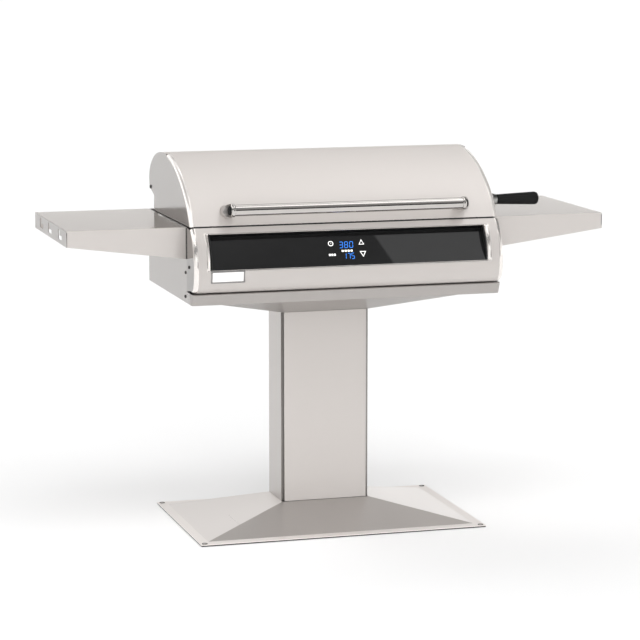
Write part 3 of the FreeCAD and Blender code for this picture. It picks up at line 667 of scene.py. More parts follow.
def corner_w(pts):
    """bevel only the upright edges that stand at the given places in plan, and a front top edge"""
    def w(e):
        a, b = e.verts[0].co / MM, e.verts[1].co / MM
        up = abs(a.x - b.x) < 0.01 and abs(a.y - b.y) < 0.01
        if up:
            return 1.0 if any(abs(a.x - q[0]) < 0.05 and abs(a.y - q[1]) < 0.05 for q in pts) else 0.0
        top = min(a.z, b.z) > COL_TOP - 1.0 and max(abs(a.y + Y), abs(b.y + Y)) < 0.05
        return 1.0 if top and (-X, -Y) not in pts else 0.0
    return w


ob = solid("column_shell_folded", prism(shell_poly, 3.0, COL_TOP, "Z"), ["sheet_col", "sheet_col_side", "groove"],
           slot="stainless_sheet", replaces="column_shell", bevel=1.6, seg=3,
           weights=corner_w([(-X, -Y + 8), (X, -Y + 8), (X, Y), (-X, Y)]))
side_faces(ob)
# painted shade: the forward faces of the lips inside the grooves take the dark groove copy
for p in ob.data.polygons:
    if p.normal.y < -0.8 and abs(p.center.y / MM - (-Y + 8)) < 0.1:
        p.material_index = 2
px = X - 6.7
panel_poly = [(-px, -Y), (px, -Y), (px, -Y + 7.7), (px - 2, -Y + 7.7), (px - 2, -Y + 2), (-px + 2, -Y + 2),
              (-px + 2, -Y + 7.7), (-px, -Y + 7.7)]
ob = solid("column_front_sheet", prism(panel_poly, 64.6, COL_TOP - 0.4, "Z"), ["sheet_col_front", "groove"],
           slot="stainless_sheet", replaces="column_front_panel", bevel=2.3, seg=5,
           weights=corner_w([(-px, -Y), (px, -Y)]))
side_faces(ob)

# ---------------------------------------------------------------------------
# hopper under the body
# ---------------------------------------------------------------------------
lo4 = [(-X, -Y), (X, -Y), (X, Y), (-X, Y)]
hi4 = [(-386, -253), (386, -253), (386, 222), (-386, 222)]
# painted light: the front and back slopes take a darkened copy of the sheet and the sides a brightened one
hv, hf, hm = [], [], []
for i in range(4):
    j = (i + 1) % 4
    k = len(hv)
    a, b, c, d = [list(p) for p in (lo4[i], lo4[j], hi4[j], hi4[i])]
    if i == 0:
        for p, g in ((a, 2.2), (b, -2.2), (c, -3.2), (d, 3.2)):
            p[0] += g
    elif i == 1:
        a[1] += 1.2
        d[1] += 2.4
    elif i == 3:
        b[1] += 1.2
        c[1] += 2.4
    hv += [(*a, COL_TOP), (*b, COL_TOP), (*c, BODY_Z0 - 0.2), (*d, BODY_Z0 - 0.2)]
    hf.append((k, k + 1, k + 2, k + 3))
    hm.append(0 if i in (0, 2) else 1)
hop = piece("hopper_sheet", hv, hf, ["sheet_hopper", "sheet_base_side"], slot="stainless_sheet", replaces="support_hopper",
            face_mat=hm, weights=crease, bevel=2.2, seg=4)
hop.modifiers.remove(hop.modifiers["normals"])
m = hop.modifiers.new("thickness", "SOLIDIFY")
m.thickness, m.offset, m.use_even_offset = 2.0 * MM, -1.0, True
m = hop.modifiers.new("normals", "WEIGHTED_NORMAL")
m.mode, m.weight = "FACE_AREA", 50

# ---------------------------------------------------------------------------
# lower front strip, its ends bent round the corners
# ---------------------------------------------------------------------------
FR = 9.0


def fascia_path(y_front):
    """outline in plan, from the left side round the front to the right side"""
    pts = [(-BODY_X, -262.0)]
    for k in range(9):
        a = math.pi - math.pi / 2 * k / 8
        pts.append((-BODY_X + FR + FR * math.cos(a), y_front + FR - FR * math.sin(a)))
    n = 12
    for k in range(1, n):
        pts.append((-BODY_X + FR + (2 * BODY_X - 2 * FR) * k / n, y_front))
    for k in range(9):
        a = math.pi / 2 - math.pi / 2 * k / 8
        pts.append((BODY_X - FR + FR * math.cos(a), y_front + FR - FR * math.sin(a)))
    pts.append((BODY_X, -262.0))
    return pts


rows = [(699.5 + 2.5 * math.cos(math.radians(18 * k)), -297.5 - 2.5 * math.sin(math.radians(18 * k))) for k in range(6)]
rows += [(690.0, -296.0), (680.5, -292.5), (671.0, -289.0)]
top_in = [(x, y) for x, y in fascia_path(-300.0)]
fv = []
cols = len(top_in)
for z, yf in rows:
    fv += [(x, y, z) for x, y in fascia_path(yf)]
ff = grid_faces(len(rows), cols, flip=True)
ob = piece("fascia_bent_sheet", fv, ff, "sheet_fascia", slot="stainless_sheet", replaces="front_fascia", thick=2.0, bevel=0.4,
           angle=50, inside=(0, 0, 690))
# folded top lip behind the front edge
ob = solid("fascia_top_lip", prism([(-297.6, 700.1), (-297.6, 701.9), (-270.0, 701.9), (-270.0, 700.1)], -434.0, 434.0, "X"),
           "sheet_fascia", slot="stainless_sheet", bevel=0.5)

# ---------------------------------------------------------------------------
# side panels, rear panel
# ---------------------------------------------------------------------------
side_outline = [(-262.0, BODY_Z0), (BODY_Y1, BODY_Z0), (BODY_Y1, BODY_Z1 - 1.5), (SEAM_Y + 0.6, BODY_Z1 - 1.5),
                (SEAM_Y + 0.6, 702.0), (-262.0, 702.0)]
for sgn, side in ((-1, "left"), (1, "right")):
    hs = [circle(y, z, 2.5, 16) for y, z in ((-220.0, 754.0), (-215.0, 687.5))]
    vf = plate(side_outline, hs, (lambda s: lambda u, v, w: (s * (BODY_X - 2.0 + w), u, v))(sgn), 2.0)
    solid("side_sheet_" + side, vf, "sheet_side", slot="stainless_sheet", replaces="side_panel_" + side, bevel=0.7, seg=2,
          angle=50)


# ---------------------------------------------------------------------------
# control panel sheet with the window, its side edges rolled in
# ---------------------------------------------------------------------------
S_HI = bezel.s_at_z(866.0, 0.0, 0.3)
S_LO = bezel.s_at_z(768.0, 0.3, 0.7)
srows = [(-1, None), ("hem", None)]
s_list = []
for k in range(7):
    s_list.append(S_HI * k / 6)
inside_rows = []
near = [0.0, 0.6, 1.4, 2.4, 3.6, 5.0, 6.5, 9.0]
d_open = (S_LO - S_HI) * bezel.length
for q in near[1:]:
    inside_rows.append(S_HI + q / bezel.length)
for k in range(1, 17):
    inside_rows.append(S_HI + (9.0 + (d_open - 18.0) * k / 17) / bezel.length)
for q in near[:0:-1]:
    inside_rows.append(S_LO - q / bezel.length)
s_list += inside_rows + [S_LO]
for k in range(1, 21):
    s_list.append(S_LO + (1 - S_LO) * k / 20)
rollt = [math.radians(90.0 * k / 8) for k in range(9)]
colx = [-428.0, -416.0] + [-(405.0 - 12.0 * math.sin(t)) for t in rollt[::1]][:1]
left_cols = [(-428.0, 0.0), (-416.0, 0.0)] + [(-(405.0 - 12.0 * math.sin(t)), 9.0 * (1 - math.cos(t))) for t in rollt]
mid_cols = [(-300.0, None), (-200.0, None), (-100.0, None), (0.0, None), (100.0, None), (200.0, None), (300.0, None)]
right_cols = [(-x, d) for x, d in left_cols[::-1]]
cols_all = left_cols + mid_cols + right_cols
nl, nm = len(left_cols), len(mid_cols)
bv, bf, bm_ = [], [], []


def fade(s):
    d = min(s - S_HI, S_LO - s) * bezel.length
    t = max(0.0, min(1.0, d / 2.6))
    return t * t * (3 - 2 * t)


hem = [(-263.5, 879.8), (-272.0, 879.8)]
for y, z in hem:
    bv += [(x, y, z) for x, d in cols_all]
for s in s_list:
    inside = S_HI < s < S_LO
    for x, d in cols_all:
        ins = (d or 0.0) * (fade(s) if inside else 0.0)
        y, z = bezel.at(s, ins)
        bv.append((x, y, z))
for y, z in ((-275.0, 704.5), (-263.0, 704.5)):
    bv += [(x, y, z) for x, d in cols_all]
nr = len(s_list) + 4
nc = len(cols_all)
r_hi = 2 + 6
r_lo = 2 + s_list.index(S_LO)


def window(r, c):
    return r_hi <= r < r_lo and nl - 1 <= c < nl + nm


bf = grid_faces(nr, nc, flip=False, skip=window)
bm_ = []
for r in range(nr - 1):
    for c in range(nc - 1):
        if window(r, c):
            continue
        roll = r_hi <= r < r_lo and (2 <= c < nl - 1 or nl + nm <= c < nl + nm + len(rollt) - 1)
        bm_.append(1 if roll else 0)
# painted highlight: the rolled edges of the window take a brightened polished copy
bz = piece("control_bezel_sheet", bv, bf, ["sheet_bezel", "rim_low"], slot="stainless_sheet", replaces="control_bezel", face_mat=bm_,
           thick=2.0, bevel=0.35, seg=2, angle=60, inside=(0, -150, 780))
# edges of the opening, turned in with a small radius
for nm, s_e, sg in (("upper", S_HI, 1.0), ("lower", S_LO, -1.0)):
    y0, z0 = bezel.at(s_e)
    y1, z1 = bezel.at(s_e - sg * 4.0 / bezel.length)
    ty, tz = (y0 - y1) / math.hypot(y0 - y1, z0 - z1), (z0 - z1) / math.hypot(y0 - y1, z0 - z1)
    ny_, nz_ = (-tz, ty) if (-tz) * (-150 - y0) + ty * (780 - z0) > 0 else (tz, -ty)
    arc = [(y0 + 2.2 * (ty * math.sin(a) + ny_ * (1 - math.cos(a))), z0 + 2.2 * (tz * math.sin(a) + nz_ * (1 - math.cos(a))))
           for a in [math.radians(15 * k) for k in range(7)]]
    arc.append((arc[-1][0] + ny_ * 3.0, arc[-1][1] + nz_ * 3.0))
    back = [(y0 + ny_ * 1.2, z0 + nz_ * 1.2), (y0 - ty * 1.5 + ny_ * 1.2, z0 - tz * 1.5 + nz_ * 1.2), (y0 - ty * 1.5, z0 - tz * 1.5)]
    inn = [(q[0] - ty * 1.0, q[1] - tz * 1.0) for q in arc[:3:-1]]
    solid("control_window_lip_" + nm, prism(arc + inn + back[:2] + back[2:], -392.6, 392.6, "X"), "lip", slot="stainless_sheet")


def rolled_end(name, profile, s0_of, s1, steps, wall, body, replaces, sgn, wall_mat, thick=2.0, holes=(), roll_mat="rim"):
    """end piece: a quarter-ellipse roll along the profile, then a flat wall"""
    tt = [math.radians(90.0 * k / 10) for k in range(11)]
    v, f, fm = [], [], []
    nrow = steps + 1
    for i in range(nrow):
        for t in tt:
            ins = RIM_IN * (1 - math.cos(t))
            a = s0_of(ins)
            s = a + (s1 - a) * i / steps
            y, z = profile.at(s, ins)
            v.append((BODY_X - RIM_X + RIM_X * math.sin(t), y, z))
    f = grid_faces(nrow, len(tt), flip=True)
    fm = [0] * len(f)
    edge = [v[i * len(tt) + len(tt) - 1][1:] for i in range(nrow)]
    loop = edge + wall(edge)
    loops = [loop] + [list(h) for h in holes]
    flat = [p for lp in loops for p in lp]
    tr = tessellate_polygon([[Vector((p[0], p[1], 0)) for p in lp] for lp in loops])
    k = len(v)
    v += [(BODY_X, p[0], p[1]) for p in flat]
    for t in tr:
        a, b, c = (Vector((flat[i][0], flat[i][1], 0)) for i in t)
        q = tuple(i + k for i in t)
        f.append(q if (b - a).cross(c - a).z > 0 else q[::-1])
        fm.append(1)
    # rim faces must look outwards
    a, b, c = (Vector(v[i]) for i in f[0][:3])
    nrm = (b - a).cross(c - a)
    yc, zc = profile.at(0.5, 60.0)
    out = Vector((0, v[f[0][0]][1] - yc, v[f[0][0]][2] - zc))
    if nrm.dot(out) < 0:
        f = [q[::-1] if fm[i] == 0 else q for i, q in enumerate(f)]
    if sgn < 0:
        v, f = flipx(v, f)
    return piece(name, v, f, [roll_mat, wall_mat], body=body, slot="stainless_sheet", replaces=replaces, face_mat=fm, thick=thick,
                 bevel=0.35, seg=2, angle=60)


# painted shade on the cheek walls, a much darker copy beside the shelves; painted highlight on their rolled edges, a
# brightened copy
for sgn, side in ((-1, "left"), (1, "right")):
    rolled_end("bezel_cheek_formed_" + side, bezel, lambda ins: 0.0, 1.0, 56,
               lambda e: [(SEAM_Y, 704.5), (SEAM_Y, 879.6)], "root", "bezel_cheek_" + side, sgn, "sheet_cheek",
               holes=[circle(-261.0, 773.0, 2.5, 16)], roll_mat="rim_low")

# ---------------------------------------------------------------------------
# window: tilted black glass in a moulded frame, lit figures
# ---------------------------------------------------------------------------
GA, GB = (-319.2, 769.5), (-267.8, 855.1)
GL = math.hypot(GB[0] - GA[0], GB[1] - GA[1])
gt = ((GB[0] - GA[0]) / GL, (GB[1] - GA[1]) / GL)
gn = (gt[1], -gt[0])


def gp(a, d):
    return (GA[0] + gt[0] * a + gn[0] * d, GA[1] + gt[1] * a + gn[1] * d)


solid("display_glass_pane", prism([gp(0, 0), gp(GL, 0), gp(GL, 4.0), gp(0, 4.0)], -389.2, 389.2, "X"), "glass",
      slot="black_glass", replaces="display_glass", bevel=0.7, seg=3)
wall = [gp(-1.0, 4.2), gp(-1, -0.5), (-318.6, 790.0), (-313.0, 814.0), (-305.0, 833.0), (-296.0, 848.0),
        (-285.5, 862.0), (-285.5, 864.5), gp(GL + 8, 4.2)]
top_wall = [(-285.5, 862.5), gp(GL + 1.0, -0.5), gp(GL + 1.0, 4.0), gp(GL + 8, 4.0), (-285.5, 864.5)]
led = [[gp(-1.0, 4.2), gp(12.0, 4.2), gp(12.0, 6.7), gp(-1.0, 6.7)],
       [gp(GL - 10.0, 4.2), gp(GL + 8.0, 4.2), gp(GL + 8.0, 6.7), gp(GL - 10.0, 6.7)]]
solid("display_frame_moulding", join([prism(wall, 389.6, 392.0, "X"), prism(wall, -392.0, -389.6, "X"),
                                      prism(top_wall, -389.4, 389.4, "X"), prism(led[0], -389.4, 389.4, "X"),
                                      prism(led[1], -389.4, 389.4, "X")]),
      "plastic", slot="black_plastic", replaces="display_housing", bevel=0.4, seg=2)

SEGS = {"0": "abcdef", "1": "bc", "2": "abged", "3": "abgcd", "4": "fgbc", "5": "afgcd", "6": "afgedc", "7": "abc",
        "8": "abcdefg", "9": "abcdfg"}


def on_glass(x, a, lift=0.06):
    y, z = gp(a, -lift)
    return (x, y, z)


def bar(p, q, w):
    """six-sided lit segment between two points in (x, a)"""
    (x0, a0), (x1, a1) = p, q
    dx, da = x1 - x0, a1 - a0
    ln = math.hypot(dx, da)
    ux, ua = dx / ln, da / ln
    nx, na = -ua * w / 2, ux * w / 2
    g = w * 0.5
    return [(x0, a0), (x0 + ux * g + nx, a0 + ua * g + na), (x1 - ux * g + nx, a1 - ua * g + na), (x1, a1),
            (x1 - ux * g - nx, a1 - ua * g - na), (x0 + ux * g - nx, a0 + ua * g - na)]


def digit(ch, x, a, w, h, t):
    """seven-segment figure with its lower left corner at (x, a), leaning a little"""
    lean = 0.10
    P = {"tl": (0, h), "tr": (w, h), "ml": (0, h / 2), "mr": (w, h / 2), "bl": (0, 0), "br": (w, 0)}
    P = {k: (x + u + lean * v, a + v) for k, (u, v) in P.items()}
    E = {"a": ("tl", "tr"), "b": ("tr", "mr"), "c": ("mr", "br"), "d": ("bl", "br"), "e": ("ml", "bl"), "f": ("tl", "ml"),
         "g": ("ml", "mr")}
    out = []
    for s in SEGS[ch]:
        p, q = P[E[s][0]], P[E[s][1]]
        ln = math.hypot(q[0] - p[0], q[1] - p[1])
        g = 0.35 / ln
        out.append(bar((p[0] + (q[0] - p[0]) * g, p[1] + (q[1] - p[1]) * g), (q[0] - (q[0] - p[0]) * g, q[1] - (q[1] - p[1]) * g), t))
    return out


def inlay(name, polys, mat, slot, lift=0.06, thick=0.05):
    """thin raised shapes lying on the glass; each shape is an outline or (outline, hole)"""
    parts = []
    for p in polys:
        outer, hs = (p[0], [p[1]]) if isinstance(p, tuple) and isinstance(p[0], list) else (p, [])
        parts.append(plate(outer, hs, lambda u, v, w: (u, *gp(v, -(lift - thick) - w)), thick))
    return solid(name, join(parts), mat, slot=slot, smooth=False)


def px_to_glass(u, v):
    """place on the glass that sits under a point of the 640 by 640 frame"""
    c = Vector((-2063.1, -7017.9, 1730.3))
    yw, pt, f = math.radians(16.4167), math.radians(9.0126), 2597.387
    fw = Vector((math.sin(yw) * math.cos(pt), math.cos(yw) * math.cos(pt), -math.sin(pt)))
    rt = Vector((math.cos(yw), -math.sin(yw), 0))
    up = rt.cross(fw)
    d = fw + rt * ((u - 320) / f) - up * ((v - 320) / f)
    n = Vector((0, gn[0], gn[1]))
    p0 = Vector((0, GA[0], GA[1]))
    t = (p0 - c).dot(n) / d.dot(n)
    p = c + d * t
    return (p.x, (p.y - GA[0]) * gt[0] + (p.z - GA[1]) * gt[1])


def spread(name, text, u0, u1, v0, v1, t):
    """figures that fill a box of the frame"""
    xa, aa = px_to_glass(u0, v1)
    xb, ab = px_to_glass(u1, v0)
    h = abs(px_to_glass((u0 + u1) / 2, v0)[1] - px_to_glass((u0 + u1) / 2, v1)[1]) - t
    a = px_to_glass((u0 + u1) / 2, v1)[1] + t / 2
    n = len(text)
    pitch = (xb - xa - 0.10 * h) / n
    w = pitch * 0.62
    polys = []
    for i, ch in enumerate(text):
        polys += digit(ch, xa + pitch * (i + 0.12), a, w, h, t)
    return inlay(name, polys, "blue", "black_glass")


spread("display_figures_upper", "380", 338.9, 353.9, 241.5, 247.9, 1.5)
spread("display_figures_lower", "175", 343.4, 355.3, 252.9, 259.0, 1.5)


def tri(u, v):
    return [px_to_glass(a, b) for a, b in zip(u, v)]


def ring_shape(cx, ca, r0, r1, n=28):
    return (circle(cx, ca, r1, n), circle(cx, ca, r0, n))


def scaled(poly, k):
    cx = sum(p[0] for p in poly) / len(poly)
    ca = sum(p[1] for p in poly) / len(poly)
    return [(cx + (p[0] - cx) * k, ca + (p[1] - ca) * k) for p in poly]


up_t = tri((360.8, 358.7, 364.2), (239.2, 244.5, 244.4))
dn_t = tri((359.7, 366.0, 363.5), (251.1, 251.0, 256.8))
cx, ca = px_to_glass(330.6, 243.6)
hand1 = bar((cx, ca - 0.4), (cx, ca + 3.6), 0.8)
hand2 = bar((cx - 0.4, ca), (cx + 2.6, ca - 0.2), 0.8)
inlay("display_marks", [(up_t, scaled(up_t, 0.67)), (dn_t, scaled(dn_t, 0.67)), ring_shape(cx, ca, 5.7, 7.6), hand1, hand2],
      "white", "black_glass")


def dashes(name, u0, u1, v0, v1, n, mat):
    """row of plain bars in place of a word"""
    xa, aa = px_to_glass(u0, v1)
    xb, ab = px_to_glass(u1, v0)
    polys = []
    pitch = (xb - xa) / n
    for i in range(n):
        x = xa + pitch * (i + 0.14)
        polys.append(round_rect(x, x + pitch * 0.72, aa, aa + (ab - aa) * 1.0, 1.0, 3))
    inlay(name, polys, mat, "black_glass")


dashes("display_dashes_centre", 341.4, 352.9, 249.6, 251.9, 4, "print_warm")
dashes("display_dashes_left", 328.8, 336.0, 253.7, 256.0, 3, "white")

# ---------------------------------------------------------------------------
# blank name plate: bright plate in a darker raised frame, following the panel's curve
# ---------------------------------------------------------------------------
sa = bezel.s_at_z(763.8, 0.4, 0.6)
sb = bezel.s_at_z(734.5, 0.5, 0.8)


def curved_slab(x0, x1, s0, s1, i0, i1, n=10):
    a = [bezel.at(s0 + (s1 - s0) * k / n, i0) for k in range(n + 1)]
    b = [bezel.at(s0 + (s1 - s0) * k / n, i1) for k in range(n + 1)]
    return prism(a + b[::-1], x0, x1, "X")


dl = 4.0 / bezel.length
solid("name_plate_frame", join([curved_slab(-394.5, -300.5, sa, sa + dl, -1.4, -0.1, 2), curved_slab(-394.5, -300.5, sb - dl, sb, -1.4, -0.1, 2),
                                curved_slab(-394.5, -390.5, sa + dl, sb - dl, -1.4, -0.1), curved_slab(-304.5, -300.5, sa + dl, sb - dl, -1.4, -0.1)]),
      "plate_frame", slot="satin_plate", replaces="badge_plate", bevel=0.5, seg=2)
solid("name_plate_blank", curved_slab(-390.5, -304.5, sa + dl, sb - dl, -1.1, -0.1), "plate", slot="satin_plate", bevel=0.2, seg=1)

# ---------------------------------------------------------------------------
# hood
# ---------------------------------------------------------------------------
n = 90
outer = [hood.at((S_NOTCH + 0.02) * k / n) for k in range(n + 1)]
innr = [hood.at((S_NOTCH + 0.02) * k / n, 2.0) for k in range(n + 1)]
innr = [p for p in innr if p[1] > 886.2]
poly = outer + innr[::-1] + [(-270.6, 885.8), (-250.0, 885.8), (-250.0, 883.8)]
ob = solid("hood_skin_front", prism(poly, -BODY_X + RIM_X, BODY_X - RIM_X, "X"), "sheet_x", body="hood", slot="stainless_sheet",
           replaces="hood_front_skin", bevel=0.5, seg=2, angle=40)

# rear skin, its corners cut back where the rolled edge stops and beside the pivots
s_c = hood.s_at_z(972.0, 0.8, 1.0)
sr = [S_NOTCH, 0.568] + [0.568 + (s_c - 0.568) * k / 40 for k in range(1, 41)] + [s_c + (1.0 - s_c) * k / 4 for k in range(1, 5)]
xr = [-437.9, -425.0, -200.0, 0.0, 200.0, 425.0, 437.9]
rv = [(x, *hood.at(s, 2.1)) for s in sr for x in xr]
rf = grid_faces(len(sr), len(xr), flip=True, skip=lambda r, c: c in (0, len(xr) - 2) and (r < 1 or r >= 41))
ob = piece("hood_skin_rear", rv, rf, "sheet_x", body="hood", slot="stainless_sheet", replaces="hood_rear_skin", thick=2.0,
           bevel=0.4, seg=2, angle=50, inside=(0, 60, 900))


def hood_start(ins):
    """fraction where the inset curve crosses the hood's lower edge"""
    y, z = hood.at(0.0, ins)
    t = hood.tg[0]
    return max(0.0, (882.7 - z) / t[1]) / hood.length


def hood_wall(edge):
    rest = [hood.at(S_NOTCH + (1 - S_NOTCH) * k / 40, 2.1) for k in range(41)]
    return rest + [(197.5, 937.7), (181.0, 932.8), (158.3, 925.2), (163.0, 882.7)]


# painted shade on the end walls, a darker copy; painted highlight on the rolled edges, a brightened copy
for sgn, side in ((-1, "left"), (1, "right")):
    hs = [circle(PIVOT_Y, PIVOT_Z, 4.1, 20)]
    if sgn > 0:
        hs.append(circle(GRIP_Y, GRIP_Z, 4.1, 20))
    rolled_end("hood_end_formed_" + side, hood, hood_start, S_NOTCH, 76, hood_wall, "hood", "hood_end_" + side, sgn, "sheet_side",
               holes=hs)

# ---------------------------------------------------------------------------
# main handle
# ---------------------------------------------------------------------------
tube_pts = [(-331.0, 13.9), (-331.0, BAR_R)] + [(-331.0 + 662.0 * k / 12, BAR_R) for k in range(1, 12)] + [(331.0, BAR_R), (331.0, 13.9)]
solid("handle_tube", lathe(tube_pts, 64, about_x(BAR_Y, BAR_Z)), "tube", body="hood", slot="polished_tube", replaces="handle_bar",
      bevel=0.3, seg=1, angle=60)
for sgn, side in ((-1, "left"), (1, "right")):
    ring = [(323.0, BAR_R + 0.02), (323.0, 16.6), (323.3, 17.3), (323.9, 17.8), (324.8, 18.1), (326.0, 18.2), (328.2, 18.2),
            (329.8, 18.0), (331.2, 17.5), (332.4, 16.7), (333.4, 15.6), (334.0, 14.5), (334.4, 13.4), (334.4, 12.8), (334.0, 12.6),
            (331.2, 12.6), (331.2, BAR_R + 0.02)]
    solid("handle_end_ring_" + side, lathe(ring, 64, about_x(BAR_Y, BAR_Z, sgn)), "tube", body="hood", slot="polished_tube",
          replaces="handle_ring_" + side)
    w = (0.1584, 0.9874)  # across the post, in YZ
    pv = []
    nseg, nst = 64, 10
    dense = hood.q
    for j in range(nst + 1):
        for k in range(nseg):
            t = 2 * math.pi * k / nseg
            cxx, cw = POST_R * math.cos(t), POST_R * math.sin(t)
            y0, z0 = BAR_Y + w[0] * cw, BAR_Z + w[1] * cw
            d0 = math.sqrt(max(0.0, (RING_R + 0.05) ** 2 - cw * cw))
            dd = np.linspace(20.0, 90.0, 1400)
            py, pz = y0 + POST_DIR[0] * dd, z0 + POST_DIR[1] * dd
            # first place where the line passes under the hood's skin
            zh = np.interp(py, dense[:2400, 0], dense[:2400, 1])
            under = np.nonzero(pz < zh)[0]
            d1 = dd[under[0]] + 0.3 if len(under) else 70.0
            d = d0 + (d1 - d0) * j / nst
            pv.append((sgn * (POST_X + cxx), y0 + POST_DIR[0] * d, z0 + POST_DIR[1] * d))
    pf = grid_faces(nst + 1, nseg, closed=True)
    pf.append(tuple(nst * nseg + k for k in range(nseg)))
    # saddle face that fits the ring: rings of points towards the middle
    last = list(range(nseg))
    for q in (0.93, 0.8, 0.62, 0.42, 0.2):
        now = []
        for k in range(nseg):
            t = 2 * math.pi * k / nseg
            cxx, cw = q * POST_R * math.cos(t), q * POST_R * math.sin(t)
            d0 = math.sqrt((RING_R + 0.05) ** 2 - cw * cw)
            now.append(len(pv))
            pv.append((sgn * (POST_X + cxx), BAR_Y + w[0] * cw + POST_DIR[0] * d0, BAR_Z + w[1] * cw + POST_DIR[1] * d0))
        for k in range(nseg):
            j = (k + 1) % nseg
            pf.append((last[k], last[j], now[j], now[k]))
        last = now
    pf.append(tuple(last))
    solid("handle_post_turned_" + side, (pv, pf), "post", body="hood", slot="polished_tube", replaces="handle_post_" + side,
          bevel=0.5, seg=2, angle=50)
plug = [(331.6, 12.5), (336.4, 12.5), (337.2, 12.3), (337.9, 11.9), (338.6, 11.3), (339.1, 10.5), (339.6, 9.5), (340.0, 8.2),
        (340.4, 6.5), (340.6, 4.4), (340.75, 2.2), (340.8, 0.0)]
solid("handle_end_plugs", join([lathe([(331.6, 0.0)] + plug, 40, about_x(BAR_Y, BAR_Z, s), closed=False) for s in (-1, 1)]), "grip",
      body="hood", slot="black_plastic", replaces="handle_plugs")

# ---------------------------------------------------------------------------
# side grip: turned ferrule, tapered moulding with lengthwise flutes
# ---------------------------------------------------------------------------
fer = [(440.3, 4.0), (440.3, 17.0), (440.9, 17.6), (443.0, 17.7), (445.6, 17.5), (448.5, 16.6), (452.0, 15.4), (455.5, 14.6),
       (457.4, 14.2), (458.0, 13.6), (458.0, 4.0)]
solid("grip_ferrule_cast", lathe(fer, 48, about_x(GRIP_Y, GRIP_Z)), "cast", body="hood", slot="cast_ferrule", replaces="grip_ferrule")


def fluted(a, r, t):
    if a < 460.0 or a > 576.0 or r < 8.0:
        return r
    k = min(1.0, (a - 460.0) / 4.0, (576.0 - a) / 6.0)
    k = max(0.0, k)
    return r - 1.3 * k * (0.5 - 0.5 * math.cos(9 * t + 0.6)) ** 1.6


grip = [(458.2, 0.0), (458.2, 12.6), (458.8, 13.5), (460.0, 13.85)]
for k in range(1, 25):
    a = 460.0 + (570.5 - 460.0) * k / 24
    grip.append((a, 13.85 + (18.2 - 13.85) * (a - 460.0) / 112.0))
grip += [(572.2, 18.2), (573.2, 17.9), (573.6, 17.3), (574.2, 17.3), (574.6, 17.7), (576.0, 17.0), (578.0, 16.0), (580.0, 13.9),
         (581.4, 11.2), (582.1, 8.0), (582.4, 4.0), (582.4, 0.0)]
solid("side_grip_moulded", lathe(grip, 108, about_x(GRIP_Y, GRIP_Z), closed=False, radius=fluted), "grip", body="hood",
      slot="grip_plastic", replaces="side_grip")

# ---------------------------------------------------------------------------
# fasteners on the sides: pan heads with a hexagon socket
# ---------------------------------------------------------------------------


def pan_head(x0, y, z, r, h, sgn, body_len=3.0, seg=28):
    """low domed head with a hexagon socket, standing on a face at x0"""
    out = [(x0 - body_len, 0.0), (x0 - body_len, r * 0.5), (x0, r * 0.5), (x0, r * 0.94), (x0 + 0.25 * h, r), (x0 + 0.55 * h, r * 0.96),
           (x0 + 0.85 * h, r * 0.78), (x0 + h, r * 0.55), (x0 + h, r * 0.44)]
    v, f = lathe(out, seg, about_x(y, z, sgn), closed=False)
    top = len(v) - seg
    hexr = r * 0.36
    base = len(v)
    for k in range(seg):
        t = 2 * math.pi * k / seg
        a = (t + math.pi / 6) % (math.pi / 3) - math.pi / 6
        q = hexr * math.cos(math.pi / 6) / math.cos(a)
        v.append((sgn * (x0 + h), y + q * math.cos(t), z + q * math.sin(t)))
    for k in range(seg):
        vx = v[base + k]
        v.append((sgn * (x0 + h * 0.35), vx[1], vx[2]))
    v.append((sgn * (x0 + h * 0.35), y, z))
    c = len(v) - 1
    for k in range(seg):
        j = (k + 1) % seg
        f.append((top + k, top + j, base + j, base + k))
        f.append((base + k, base + j, base + seg + j, base + seg + k))
        f.append((base + seg + k, base + seg + j, c))
    return v, f


heads = [pan_head(440.0, y, z, 4.6, 2.7, s, 6.0) for s in (-1, 1) for y, z in ((-261.0, 773.0), (-220.0, 754.0), (-215.0, 687.5))]
ob = solid("side_screw_heads", join(heads), "dark", slot="dark_screw", replaces="side_screws", bevel=0.12, seg=1, angle=40)
heads = [pan_head(440.4, PIVOT_Y, PIVOT_Z, 5.6, 2.6, s, 14.0, 36) for s in (-1, 1)]
solid("hinge_bolt_heads", join(heads), "dark", body="root", slot="dark_screw", replaces="hinge_pins", bevel=0.2, seg=1, angle=40)
heads = []
for s in (-1, 1):
    for y in (-180, 180):
        for z in (812, 852):
            heads.append(pan_head(442.05, y, z, 6.0, 4.0, s, 2.0))
solid("shelf_bolt_heads", join(heads), "zinc", slot="zinc_bolt", replaces="shelf_bolts", bevel=0.15, seg=1, angle=40)
solid("hood_bumper_studs", join([lathe([(879.9, 0.0), (879.9, 3.4), (880.4, 3.5), (882.6, 3.4), (883.2, 2.9), (883.4, 2.0), (883.4, 0.0)], 24,
                                       (lambda s: lambda a, u, v: (s * 380.0 + u, -266.6 + v, a))(s), closed=False) for s in (-1, 1)]),
      "rubber", slot="rubber", replaces="hood_bumpers")
# thin dark strip that the closed hood settles towards
solid("hood_seal_strip", join([prism([(-272.4, 879.9), (-263.0, 879.9), (-263.0, 882.0), (-272.4, 882.0)], a, b, "X")
                               for a, b in ((-427.5, -384.5), (-375.5, 375.5), (384.5, 427.5))]),
      "rubber", slot="rubber", bevel=0.3, seg=1)

# ---------------------------------------------------------------------------
# side shelves: pressed tray shapes with three tool slots in the outer edge
# ---------------------------------------------------------------------------


